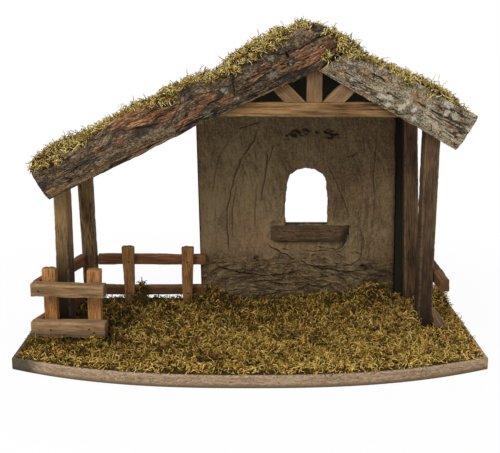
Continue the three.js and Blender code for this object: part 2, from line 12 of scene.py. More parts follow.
import bpy
import numpy as np
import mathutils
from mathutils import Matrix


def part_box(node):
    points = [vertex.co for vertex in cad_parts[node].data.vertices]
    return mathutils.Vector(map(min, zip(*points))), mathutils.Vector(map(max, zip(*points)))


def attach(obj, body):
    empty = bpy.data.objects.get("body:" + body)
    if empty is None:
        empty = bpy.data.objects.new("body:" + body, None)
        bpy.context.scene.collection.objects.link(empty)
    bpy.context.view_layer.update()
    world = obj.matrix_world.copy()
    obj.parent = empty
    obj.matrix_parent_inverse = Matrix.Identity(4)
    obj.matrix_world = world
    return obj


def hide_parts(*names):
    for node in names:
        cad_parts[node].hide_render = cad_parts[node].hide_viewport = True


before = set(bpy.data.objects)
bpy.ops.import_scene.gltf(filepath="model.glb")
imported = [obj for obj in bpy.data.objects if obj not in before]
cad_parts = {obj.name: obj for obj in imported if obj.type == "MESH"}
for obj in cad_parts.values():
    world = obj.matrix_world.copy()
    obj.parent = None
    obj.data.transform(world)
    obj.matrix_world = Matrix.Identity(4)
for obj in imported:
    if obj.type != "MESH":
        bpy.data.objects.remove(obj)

LOG = logging.getLogger("stable")
MM = 0.001
BODY = "root"
GAP = 0.35
BOARD_TOP = 13.0
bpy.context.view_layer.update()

Array = np.ndarray
Pair = tuple[float, float]
Vector = tuple[float, float, float]
Colour = tuple[float, float, float]


# Numbers


def smooth(value: Array, low: float, high: float) -> Array:
    """0 below low, 1 above high and an S-shaped curve between them."""
    t = np.clip((value - low) / (high - low), 0.0, 1.0)
    return t * t * (3.0 - 2.0 * t)


def hump(x: Array, centre: float, width: float) -> Array:
    """A bell of height 1: exp(-((x - centre) / width)^2)."""
    return np.exp(-(((x - centre) / width) ** 2))


def unit(vectors: Array) -> Array:
    """Each vector divided by its length."""
    return vectors / np.maximum(np.linalg.norm(vectors, axis=-1, keepdims=True), 1e-9)


def stack(*parts: Any) -> Array:
    """Coordinates of one shape put together as points on a last axis."""
    return np.stack(np.broadcast_arrays(*parts), axis=-1)


def each(kind: type, *rows: tuple[Any, ...]) -> tuple[Any, ...]:
    """One object of a kind for each row of its fields."""
    return tuple(kind(*row) for row in rows)


class Noise:
    """Smooth seeded noise: a table of random numbers that wraps every 64 cells."""

    def __init__(self, seed: int) -> None:
        """Fills the table.

        Args:
            seed: Start of the random numbers.
        """
        self.table = np.random.default_rng(seed).uniform(-1, 1, (64, 64, 64))

    def at(self, x: Any, y: Any, z: Any = 0.0) -> Array:
        """Blends the eight table values around each point with S-shaped weights.

        Args:
            x: First coordinate, in cells.
            y: Second coordinate, in cells.
            z: Third coordinate, in cells.

        Returns:
            A value from -1 to 1 for each point.
        """
        points = stack(x, y, z).astype(float)
        cell = np.floor(points).astype(np.int64)
        t = points - cell
        t = t * t * (3.0 - 2.0 * t)
        total = np.zeros(points.shape[:-1])
        for corner in np.ndindex(2, 2, 2):
            i, j, k = ((cell[..., n] + corner[n]) & 63 for n in range(3))
            weights = [t[..., n] if corner[n] else 1.0 - t[..., n] for n in range(3)]
            total += self.table[i, j, k] * weights[0] * weights[1] * weights[2]
        return total

    def layers(self, x: Any, y: Any, z: Any = 0.0, count: int = 3) -> Array:
        """Sum of 'count' noises, each twice as fine and half as strong as the last.

        Args:
            x: First coordinate, in cells.
            y: Second coordinate, in cells.
            z: Third coordinate, in cells.
            count: Number of noises.

        Returns:
            A value from about -1 to 1 for each point.
        """
        total, share = 0.0, 0.0
        for n in range(count):
            grow, weight = 2.03**n, 0.5**n
            total = total + weight * self.at(x * grow + 9.7 * n, y * grow + 4.1 * n, z * grow + 7.3 * n)
            share += weight
        return total / share


NOISE = Noise(11)


# Roof lines


@dataclass(frozen=True)
class RoofLines:
    """The slabs' upper edges and the panels under them, as heights over x."""

    ridge_x: float = 75.0
    ridge_z: float = 354.6
    left_slope: float = math.tan(math.radians(27.0))
    right_slope: float = math.tan(math.radians(27.2))
    right_step: float = 13.8
    panel_drop: float = 6.0
    panel_thick: float = 6.0

    def left(self, x: Array) -> Array:
        """Height of the left slab's upper edge."""
        return self.ridge_z - (self.ridge_x - x) * self.left_slope

    def right(self, x: Array) -> Array:
        """Height of the right slab's upper edge."""
        return self.ridge_z - self.right_step - (x - self.ridge_x) * self.right_slope

    def left_under(self, x: Array) -> Array:
        """Height of the left panel's underside."""
        return self.left(x) - self.panel_drop - self.panel_thick * math.hypot(1, self.left_slope)

    def right_under(self, x: Array) -> Array:
        """Height of the right panel's underside."""
        return self.right(x) - self.panel_drop - self.panel_thick * math.hypot(1, self.right_slope)


ROOF = RoofLines()


# Meshes


@dataclass
class Patch:
    """A closed surface: points in millimetres, its faces, and the traits its material reads."""

    points: Array
    quads: Array
    triangles: Array
    traits: dict[str, Array] = field(default_factory=dict)

    @classmethod
    def tube(cls, rings: Array, traits: dict[str, Array], endless: bool = False) -> "Patch":
        """Joins each closed ring of points to the next; a fan to its middle shuts either end.

        Args:
            rings: Points as rows x ring x 3.
            traits: Values as rows x ring, or rows x ring x 3.
            endless: The last ring joins the first, and there are no ends.

        Returns:
            The surface, facing outwards.
        """
        rows, ring = rings.shape[:2]
        index = np.arange(rows * ring).reshape(rows, ring)
        after = np.roll(index, -1, axis=1)
        if endless:
            index, after = np.vstack([index, index[:1]]), np.vstack([after, after[:1]])
        quads = stack(index[:-1], after[:-1], after[1:], index[1:]).reshape(-1, 4)
        flat = {key: value.reshape(rows * ring, *value.shape[2:]) for key, value in traits.items()}
        points = rings.reshape(-1, 3)
        fans = np.zeros((0, 3), int)
        if not endless:
            first = stack(rows * ring, after[0], index[0])
            last = stack(rows * ring + 1, index[-1], after[-1])
            fans = np.concatenate([first, last])
            points = np.concatenate([points, rings[:1].mean(1), rings[-1:].mean(1)])
            flat = {
                key: np.concatenate([flat[key], value[:1].mean(1), value[-1:].mean(1)])
                for key, value in traits.items()
            }
        return cls(points, quads, fans, flat).facing_out()

    def facing_out(self) -> "Patch":
        """Turns every face round where the volume inside comes out negative."""
        corners = np.concatenate([self.quads[:, [0, 1, 2]], self.quads[:, [0, 2, 3]], self.triangles])
        a, b, c = (self.points[corners[:, n]] for n in range(3))
        if np.einsum("ij,ij->", a, np.cross(b, c)) < 0:
            self.quads, self.triangles = self.quads[:, ::-1], self.triangles[:, ::-1]
        return self

    @staticmethod
    def joined(patches: Iterable["Patch"]) -> "Patch":
        """Several surfaces as one, each with its own points."""
        parts = list(patches)
        starts = np.cumsum([0] + [len(part.points) for part in parts])
        return Patch(
            np.concatenate([part.points for part in parts]),
            np.concatenate([part.quads + start for part, start in zip(parts, starts)]),
            np.concatenate([part.triangles + start for part, start in zip(parts, starts)]),
            {key: np.concatenate([part.traits[key] for part in parts]) for key in parts[0].traits},
        )

    def piece(
        self, name: str, material: bpy.types.Material, slot: str, nodes: Iterable[str] = ()
    ) -> bpy.types.Object:
        """Puts the surface into a mesh, in metres, and hangs it on the frame.

        Args:
            name: Name of the new object.
            material: Its finish.
            slot: Not used.
            nodes: CAD nodes that it stands for.

        Returns:
            The new object.
        """
        mesh = bpy.data.meshes.new(name)
        corners = np.concatenate([self.quads.ravel(), self.triangles.ravel()])
        faces = len(self.quads) + len(self.triangles)
        starts = np.concatenate(
            [4 * np.arange(len(self.quads)), 4 * len(self.quads) + 3 * np.arange(len(self.triangles))]
        )
        mesh.vertices.add(len(self.points))
        mesh.vertices.foreach_set("co", (self.points * MM).astype(np.float32).ravel())
        mesh.loops.add(len(corners))
        mesh.loops.foreach_set("vertex_index", corners.astype(np.int32))
        mesh.polygons.add(faces)
        mesh.polygons.foreach_set("loop_start", starts.astype(np.int32))
        mesh.polygons.foreach_set("use_smooth", np.ones(faces, bool))
        mesh.update(calc_edges=True)
        for key, value in self.traits.items():
            kind, part = ("FLOAT_VECTOR", "vector") if value.ndim == 2 else ("FLOAT", "value")
            attribute = mesh.attributes.new(key, kind, "POINT")
            attribute.data.foreach_set(part, value.astype(np.float32).ravel())
        mesh.materials.append(material)
        piece = bpy.data.objects.new(name, mesh)
        bpy.context.scene.collection.objects.link(piece)
        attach(piece, BODY)
        if nodes:
            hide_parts(*nodes)
        LOG.info("%s: %d triangles", name, 2 * len(self.quads) + len(self.triangles))
        return piece


# Shader wiring


def paint(colour: Colour) -> tuple[float, float, float, float]:
    """A colour written as screen values of 0 to 255, as the linear colour a shader takes."""
    parts = [value / 255.0 for value in colour]
    linear = [p / 12.92 if p <= 0.04045 else ((p + 0.055) / 1.055) ** 2.4 for p in parts]
    return (linear[0], linear[1], linear[2], 1.0)


def dimmed(colour: Colour, share: float) -> Colour:
    """Each part of a colour multiplied by a share."""
    return tuple(share * part for part in colour)


class Wire:
    """A shader value that ordinary arithmetic can be written with."""

    def __init__(self, graph: "Graph", socket: bpy.types.NodeSocket) -> None:
        """Wraps a node's output.

        Args:
            graph: The material it belongs to.
            socket: The output.
        """
        self.graph = graph
        self.socket = socket

    def _math(self, operation: str, *values: Any) -> "Wire":
        """A Math node of that operation on the values."""
        return self.graph.add("Math", {"operation": operation}, dict(enumerate(values)))

    def __add__(self, other: Any) -> "Wire":
        """self + other."""
        return self._math("ADD", self, other)

    __radd__ = __add__

    def __mul__(self, other: Any) -> "Wire":
        """self * other."""
        return self._math("MULTIPLY", self, other)

    __rmul__ = __mul__

    def __sub__(self, other: Any) -> "Wire":
        """self - other."""
        return self._math("SUBTRACT", self, other)

    def __rsub__(self, other: Any) -> "Wire":
        """other - self."""
        return self._math("SUBTRACT", other, self)

    def band(self, width: float) -> "Wire":
        """Rises and falls between 0 and the width again and again."""
        return self._math("PINGPONG", self, width)

    def near(self, middle: float, width: float) -> "Wire":
        """1 at the middle and 0 further from it than the width."""
        return 1.0 - self._math("ABSOLUTE", self - middle).ramp(0.0, width)

    def ramp(self, low: float, high: float) -> "Wire":
        """0 below low, 1 above high and an S-shaped curve between them."""
        return self.graph.add(
            "MapRange", {"interpolation_type": "SMOOTHSTEP"}, {0: self, 1: low, 2: high, 3: 0.0, 4: 1.0}
        )


class Graph:
    """One material's nodes."""

    def __init__(self, name: str) -> None:
        """Makes an empty material.

        Args:
            name: Its name.
        """
        self.material = bpy.data.materials.new(name)
        self.material.use_nodes = True
        self.tree = self.material.node_tree
        self.tree.nodes.clear()

    def add(
        self,
        kind: str,
        settings: dict[str, Any] | None = None,
        sockets: dict[Any, Any] | None = None,
        output: Any = 0,
    ) -> Wire:
        """Adds any node.

        Args:
            kind: Its type, without the leading ShaderNode.
            settings: Its own settings, set first; "stops" are a ramp's (place, colour) pairs.
            sockets: Values or wires of its inputs, by name or number.
            output: Which of its outputs is returned.

        Returns:
            The output, as a wire.
        """
        node = self.tree.nodes.new("ShaderNode" + kind)
        for key, value in (settings or {}).items():
            if key == "stops":
                elements = node.color_ramp.elements
                while len(elements) < len(value):
                    elements.new(0.5)
                for element, (place, colour) in zip(elements, value):
                    element.position, element.color = place, colour
            else:
                setattr(node, key, value)
        for key, value in (sockets or {}).items():
            if isinstance(value, Wire):
                self.tree.links.new(value.socket, node.inputs[key])
            else:
                node.inputs[key].default_value = value
        return Wire(self, node.outputs[output] if node.outputs else None)

    def trait(self, name: str) -> Wire:
        """A number that the mesh carries at its points."""
        return self.add("Attribute", {"attribute_name": name}, output="Fac")

    def place(self) -> Wire:
        """The point's place on the object, in millimetres."""
        return self.stretch(self.add("TexCoord", output="Object"), (1000.0, 1000.0, 1000.0))

    def grain(self) -> Wire:
        """The point's place in its own stick or slab, in millimetres, with the fibre along z."""
        return self.add("Attribute", {"attribute_name": "grain"}, output="Vector")

    def stretch(self, vector: Wire, factors: Vector) -> Wire:
        """The vector with each part multiplied by its factor."""
        return self.add("VectorMath", {"operation": "MULTIPLY"}, {0: vector, 1: factors})

    def axis(self, vector: Wire, name: str) -> Wire:
        """One part, X, Y or Z, of a vector."""
        return self.add("SeparateXYZ", sockets={0: vector}, output=name)

    def noise(
        self,
        vector: Wire,
        scale: float | Vector = 1.0,
        detail: float = 3.0,
        rough: float = 0.55,
        bend: float = 0.0,
    ) -> Wire:
        """Cloudy noise of 0 to 1 with its middle at 0.5, on one scale or one for each axis."""
        if isinstance(scale, tuple):
            vector, scale = self.stretch(vector, scale), 1.0
        sockets = {"Vector": vector, "Scale": scale, "Detail": detail, "Roughness": rough, "Distortion": bend}
        return self.add("TexNoise", sockets=sockets)

    def cells(self, vector: Wire, scale: float, output: str = "Distance") -> Wire:
        """Distance to the nearest of many scattered points, or a random colour for each cell."""
        return self.add("TexVoronoi", sockets={"Vector": vector, "Scale": scale}, output=output)

    def colours(self, value: Wire, *stops: tuple[float, Colour]) -> Wire:
        """A ramp over a value, of colours written as screen values."""
        painted = [(place, paint(colour)) for place, colour in stops]
        return self.add("ValToRGB", {"stops": painted}, {0: value})

    def mix(self, kind: str, under: Any, over: Any, share: Any) -> Wire:
        """Two colours joined by a blend type of Blender's, as far as the share says."""
        settings = {"data_type": "RGBA", "blend_type": kind, "clamp_factor": True}
        return self.add("Mix", settings, {0: share, 6: under, 7: over}, output=2)

    def blend(self, under: Any, over: Any, share: Any) -> Wire:
        """One colour laid over another.

        Args:
            under: First colour, as a wire or as screen values.
            over: Second colour, likewise.
            share: How much of the second shows.

        Returns:
            The blended colour.
        """
        pair = [paint(colour) if isinstance(colour, tuple) else colour for colour in (under, over)]
        return self.mix("MIX", *pair, share)

    def multiplied(self, colour: Wire, by: Colour, share: Wire) -> Wire:
        """A colour whose parts are multiplied by factors where the share is 1."""
        return self.mix("MULTIPLY", colour, (*by, 1.0), share)

    def surface(
        self,
        colour: Any,
        rough: Any,
        height: Wire | None = None,
        relief: float = 0.0003,
        gloss: float = 0.25,
        metal: float = 0.0,
    ) -> bpy.types.Material:
        """Ends the material with its shader.

        Args:
            colour: Base colour.
            rough: Roughness.
            height: Height of the small relief, 0 to 1.
            relief: Metres that a height of 1 stands for.
            gloss: Specular level.
            metal: How metallic it is.

        Returns:
            The finished material.
        """
        sockets = {"Base Color": colour, "Roughness": rough, "Specular IOR Level": gloss, "Metallic": metal}
        if height is not None:
            bump = {"Distance": relief, "Height": height, "Strength": 1.0}
            sockets["Normal"] = self.add("Bump", sockets=bump)
        shader = self.add("BsdfPrincipled", sockets=sockets)
        self.add("OutputMaterial", sockets={"Surface": shader})
        return self.material


# Finishes


@dataclass(frozen=True)
class SawnWood:
    """Sawn stick wood: fibres and growth bands along it, worn arrises and grime."""

    name: str
    dark: Colour
    middle: Colour
    light: Colour
    worn: Colour
    bands: float = 6.0
    figure: float = 0.35
    grime: float = 0.5
    streaks: float = 0.3
    fibre: float = 0.5
    spread: float = 0.32
    foot: float = 0.6

    def make(self) -> bpy.types.Material:
        """Wires the wood.

        Returns:
            Its material.
        """
        g = Graph(self.name)
        grain = g.grain()
        fibres = g.noise(g.stretch(grain, (1.0, 1.0, 0.045)), 0.9, 5, 0.7)
        coarse = g.noise(grain, (self.spread, self.spread, 0.04 * self.spread), 2, 0.5, 0.6)
        rings = (coarse * self.bands).band(0.5) * 2.0
        patches = g.noise(grain, (0.1, 0.1, 0.03), 4, 0.65)
        shade = (fibres - 0.5) * self.fibre + (rings - 0.5) * self.figure + (patches - 0.5) * 0.7
        shade = shade + g.trait("tone") + 0.25
        colour = g.colours(
            shade,
            (0.1, self.dark),
            (0.3, self.middle),
            (0.55, self.light),
        )
        stains = g.noise(grain, (0.25, 0.25, 0.05), 4, 0.65).ramp(0.5, 0.72)
        colour = g.blend(colour, dimmed(self.dark, 0.5), stains * self.grime)
        warm = g.noise(grain, (0.3, 0.3, 0.03), 3, 0.6).ramp(0.46, 0.62)
        colour = g.multiplied(colour, (1.08, 0.95, 0.84), warm)
        lines = g.noise(grain, (2.6, 2.6, 0.05), 2).ramp(0.56, 0.68)
        colour = g.blend(colour, dimmed(self.dark, 0.45), lines * self.streaks)
        wear = g.trait("arris").ramp(0.3, 1.0) * g.noise(grain, 0.3, 3).ramp(0.35, 0.6)
        colour = g.blend(colour, self.worn, wear * 0.3)
        sawn_end = g.trait("end").ramp(0.4, 0.9)
        colour = g.blend(colour, dimmed(self.middle, 0.55), sawn_end * 0.5)
        # Darker towards the foot: partly staining, partly painted shade down among the moss.
        foot = 1.0 - g.axis(g.place(), "Z").ramp(16.0, 36.0)
        colour = g.blend(colour, dimmed(self.dark, 0.32), foot * self.foot)
        saw = g.noise(grain, (0.12, 0.12, 1.1), 2)
        height = fibres * 0.65 + lines * -0.35 + saw * 0.35
        return g.surface(colour, fibres * 0.2 + 0.72, height, 0.0006)


@dataclass(frozen=True)
class Bark:
    """Dry bark: a flaking crust with furrows, rusty torn fibre, bare wood and lichen, with painted shade in
    its furrows and cracks and painted highlight on its raised parts.
    """

    name: str
    dark: Colour
    middle: Colour
    light: Colour
    furrow: Colour
    rust: Colour
    rust_light: Colour
    bare: Colour
    lichen: Colour
    mottle: float
    flakes: float = 0.7
    run: float = 0.45

    def make(self) -> bpy.types.Material:
        """Wires the bark.

        Returns:
            Its material.
        """
        g = Graph(self.name)
        grain = g.grain()
        crust = g.noise(grain, (0.6, 0.6, 0.6 * self.run), 5, 0.7, 0.3)
        cloud = g.noise(grain, (0.14, 0.14, 0.14 * self.run), 3, 0.6)
        flake = g.noise(grain, (1.2, 1.2, 1.2 * self.run), 3, 0.65)
        shade = (crust - 0.5) * 1.1 + (cloud - 0.5) * self.mottle + (flake - 0.5) * self.flakes
        # Raised bark lighter: painted highlight; the slab's listed tones come in on the same trait.
        shade = shade + g.trait("crest") * 0.25 + 0.42
        colour = g.colours(
            shade,
            (0.12, self.dark),
            (0.42, self.middle),
            (0.76, self.light),
        )
        # Fine cracks darkened: painted shade.
        chinks = g.noise(grain, (0.5, 0.5, 0.14), 3, 0.6).near(0.5, 0.03) * cloud.ramp(0.42, 0.6)
        colour = g.blend(colour, self.furrow, chinks * 0.65)
        torn = g.noise(grain, (1.1, 1.1, 0.11), 4, 0.75)
        fibre = g.colours(
            torn,
            (0.36, dimmed(self.rust, 0.36)),
            (0.5, self.rust),
            (0.64, self.rust_light),
        )
        redder = g.noise(grain, (0.2, 0.2, 0.08), 2).ramp(0.5, 0.65)
        fibre = g.multiplied(fibre, (1.1, 0.82, 0.7), redder * 0.6)
        brown = g.noise(grain, (0.16, 0.16, 0.07), 3, 0.6, 0.4).ramp(0.48, 0.64)
        colour = g.multiplied(colour, (1.2, 0.95, 0.7), brown)
        green = g.noise(grain, (0.2, 0.2, 0.09), 3, 0.6, 0.4).ramp(0.5, 0.66)
        colour = g.multiplied(colour, (0.92, 1.0, 0.94), green)
        flecks = g.noise(grain, (1.1, 1.1, 0.17), 3, 0.7).ramp(0.59, 0.68)
        colour = g.blend(colour, self.rust_light, flecks * cloud.ramp(0.42, 0.56) * 0.85)
        colour = g.blend(colour, fibre, (g.trait("rust") + (torn - 0.5) * 2.4).ramp(0.25, 0.8))
        wood = g.colours(torn, (0.36, dimmed(self.bare, 0.5)), (0.6, self.bare))
        colour = g.blend(colour, wood, (g.trait("bare") + (torn - 0.5) * 0.8).ramp(0.4, 0.6))
        # Furrows, cracks, groove bottoms and knot holes near black: painted shade.
        colour = g.blend(colour, self.furrow, g.trait("furrow").ramp(0.2, 0.8) * 0.9)
        crumbs = g.noise(grain, 0.9, 4, 0.7)
        growth = (g.trait("lichen") + (crumbs - 0.5) * 2.0).ramp(0.35, 0.95)
        colour = g.blend(colour, self.lichen, growth * (0.5 + flake * 0.5))
        height = crust * 0.5 + flake * 0.35 + torn * g.trait("rust") * 0.6 - chinks * 0.5
        return g.surface(colour, crust * 0.2 + 0.74, height, 0.0018)


@dataclass(frozen=True)
class TrowelledPlaster:
    """Brown plaster: grit, mottling, hair cracks, dirt in the trowel's seams, painted shade in its hollows
    and towards the top and right, and painted highlight on its ridges.
    """

    name: str = "trowelled_plaster"

    def make(self) -> bpy.types.Material:
        """Wires the plaster.

        Returns:
            Its material.
        """
        g = Graph(self.name)
        place = g.place()
        cloud = g.noise(place, (0.026, 0.03, 0.016), 4, 0.6, 0.5)
        brush = g.noise(place, (0.34, 0.3, 0.12), 4, 0.65, 0.5)
        grit = g.noise(place, 0.42, 4, 0.75)
        low = 1.0 - (g.axis(place, "Z") + (cloud - 0.5) * 60.0).ramp(52.0, 84.0)
        crust = g.noise(place, (0.13, 0.3, 0.6), 4, 0.65, 0.8)
        fine = g.noise(place, (0.8, 0.8, 0.6), 3, 0.7)
        shade = (cloud - 0.5) * 0.6 + (brush - 0.5) * 0.3 * (1.0 - low) + (crust - 0.55) * low * 0.8
        shade = shade + (grit - 0.5) * 0.9 + (fine - 0.5) * 0.75
        # Raised parts of the coat lighter: painted highlight.
        shade = shade + g.trait("crest") * 0.2 + (1.0 - low) * 0.06
        # Darker near the top: painted shade under the tie beam and roof.
        shade = shade - g.axis(place, "Z").ramp(190.0, 235.0) * 0.08
        # Lighter to the left and darker to the right: painted light and shade.
        shade = shade + 0.65 - g.axis(place, "X").ramp(-20.0, 150.0) * 0.13
        colour = g.colours(
            shade,
            (0.12, (60, 48, 34)),
            (0.48, (105, 88, 62)),
            (0.85, (143, 122, 88)),
        )
        rosy = g.noise(place, (0.012, 0.02, 0.02), 3, 0.6).ramp(0.46, 0.62)
        colour = g.multiplied(colour, (1.0, 0.9, 0.88), rosy)
        colour = g.multiplied(colour, (0.99, 0.96, 0.89), low)
        cracks = g.noise(place, (0.1, 0.3, 0.34), 3, 0.65, 0.7).near(0.5, 0.03) * low
        lines = g.noise(place, (0.22, 0.2, 0.03), 3, 0.6, 0.5).near(0.5, 0.014) * (1.0 - low)
        marks = cracks * 0.75 + lines * 0.45
        colour = g.blend(colour, (36, 27, 18), marks)
        # Painted shade in folds, hollows, grooves, pits and along the rims, with dirt in the seams.
        colour = g.blend(colour, (26, 19, 12), g.trait("scratch").ramp(0.1, 0.95) * 0.8)
        specks = g.noise(place, 1.5, 2).ramp(0.66, 0.74)
        colour = g.blend(colour, (156, 132, 92), specks * 0.4)
        height = grit * 0.7 + brush * 0.3 + crust * low * 0.8 - marks * 0.8
        return g.surface(colour, brush * 0.2 + 0.75, height, 0.0012)


@dataclass(frozen=True)
class DriedMoss:
    """Dried moss stems: dark at the root, partly painted shade low in the mat, and golden or olive towards
    the tip.
    """

    name: str
    root: Colour
    olive: Colour
    gold: Colour
    straw: Colour

    def make(self) -> bpy.types.Material:
        """Wires the moss.

        Returns:
            Its material.
        """
        g = Graph(self.name)
        colour = g.colours(
            g.trait("tint"),
            (0.0, dimmed(self.olive, 0.5)),
            (0.3, self.olive),
            (0.58, self.gold),
            (0.96, self.straw),
        )
        leaflets = g.noise(g.place(), 1.0, 3, 0.65)
        colour = g.blend(colour, dimmed(self.olive, 0.65), leaflets.ramp(0.52, 0.68) * 0.75)
        colour = g.multiplied(colour, (1.42, 1.4, 1.3), (1.0 - leaflets).ramp(0.54, 0.68))
        hue = g.noise(g.place(), 0.08, 3, 0.6)
        colour = g.multiplied(colour, (1.08, 0.97, 0.88), hue.ramp(0.54, 0.64))
        colour = g.multiplied(colour, (0.93, 1.0, 0.82), (1.0 - hue).ramp(0.54, 0.64))
        own = g.trait("hue")
        colour = g.multiplied(colour, (1.06, 0.97, 0.76), own.ramp(0.7, 0.95))
        colour = g.multiplied(colour, (0.95, 1.02, 1.08), (1.0 - own).ramp(0.72, 0.95))
        # Dark towards the root: partly the stem's own colour, partly painted shade low in the mat.
        colour = g.blend(self.root, colour, g.trait("rise").ramp(-0.25, 0.38))
        return g.surface(colour, 0.75, leaflets, 0.0007, 0.25)


@dataclass(frozen=True)
class MossBed:
    """The dark tangle under the stems, dark partly as painted shade in the gaps between them."""

    name: str = "moss_bed"

    def make(self) -> bpy.types.Material:
        """Wires the tangle.

        Returns:
            Its material.
        """
        g = Graph(self.name)
        place = g.place()
        tangle = g.noise(place, 0.45, 5, 0.75, 1.2)
        colour = g.colours(
            tangle, (0.34, (30, 22, 8)), (0.52, (66, 50, 20)), (0.7, (112, 88, 40))
        )
        return g.surface(colour, 0.9, tangle, 0.002, 0.1)


@dataclass(frozen=True)
class Chipboard:
    """Pressed chips, with a pale broken arris, darker towards the left end."""

    name: str = "chipboard"

    def make(self) -> bpy.types.Material:
        """Wires the board.

        Returns:
            Its material.
        """
        g = Graph(self.name)
        place = g.place()
        flat = g.stretch(place, (0.28, 0.28, 0.8))
        chips = g.axis(g.cells(flat, 1.0, "Color"), "X")
        fine = g.axis(g.cells(g.stretch(place, (0.75, 0.75, 1.7)), 1.0, "Color"), "Y")
        cloud = g.noise(place, (0.02, 0.02, 0.1), 3)
        shade = chips * 0.4 + fine * 0.35 + cloud * 0.5 - 0.1
        colour = g.colours(
            shade,
            (0.1, (106, 84, 62)),
            (0.5, (158, 132, 103)),
            (0.9, (190, 167, 138)),
        )
        level = g.axis(place, "Z")
        colour = g.blend(colour, (104, 86, 64), 1.0 - level.ramp(1.0, 6.0))
        colour = g.blend(colour, (186, 164, 138), level.ramp(10.4, 12.6) * fine.ramp(0.2, 0.7) * 0.8)
        pits = g.noise(place, 0.8, 3, 0.6).ramp(0.6, 0.72)
        colour = g.blend(colour, (66, 52, 38), pits * 0.5)
        # Darker towards the left end.
        side = g.axis(place, "X") + (g.noise(place, 0.08, 3) - 0.5) * 30.0
        colour = g.blend(colour, (52, 49, 38), (1.0 - side.ramp(-234.0, -214.0)) * 0.85)
        return g.surface(colour, 0.85, chips * 0.4 + fine * 0.3 + pits * -0.6, 0.0005)


@dataclass(frozen=True)
class DarkBoard:
    """Plain board with grain across the roof, near black where it faces the room."""

    name: str
    face: Colour
    back: Colour
    along: Colour
    dark_before: float

    def make(self) -> bpy.types.Material:
        """Wires the board.

        Returns:
            Its material.
        """
        g = Graph(self.name)
        place = g.place()
        fibres = g.noise(place, self.along, 5, 0.7)
        broad = dimmed(self.along, 0.14)
        figure = (g.noise(place, broad, 2) * 7.0).band(0.5)
        shade = fibres * 0.6 + figure * 0.6
        plain = g.colours(
            shade, (0.2, dimmed(self.back, 0.6)), (0.62, self.back),
            (0.9, dimmed(self.back, 1.25)),
        )
        dark_face = g.colours(
            shade, (0.2, dimmed(self.face, 0.55)), (0.6, self.face),
            (0.9, dimmed(self.face, 1.6)),
        )
        # Near black in front of the given depth.
        front = 1.0 - g.axis(place, "Y").ramp(self.dark_before, self.dark_before + 2.0)
        darkening = g.noise(place, 0.05, 4, 0.7).ramp(0.5, 0.75)
        colour = g.blend(g.blend(plain, dimmed(self.back, 0.4), darkening * 0.6), dark_face, front)
        return g.surface(colour, 0.82, shade, 0.0005)


@dataclass(frozen=True)
class NailMetal:
    """Small steel nail heads gone brown."""

    name: str = "nail_metal"

    def make(self) -> bpy.types.Material:
        """Wires the metal.

        Returns:
            Its material.
        """
        g = Graph(self.name)
        rust = g.noise(g.place(), 1.4, 4, 0.7)
        colour = g.colours(rust, (0.35, (38, 30, 26)), (0.6, (84, 58, 40)))
        return g.surface(colour, rust * 0.4 + 0.4, rust, 0.0001, 0.5, 0.6)


MADE: dict[str, bpy.types.Material] = {}


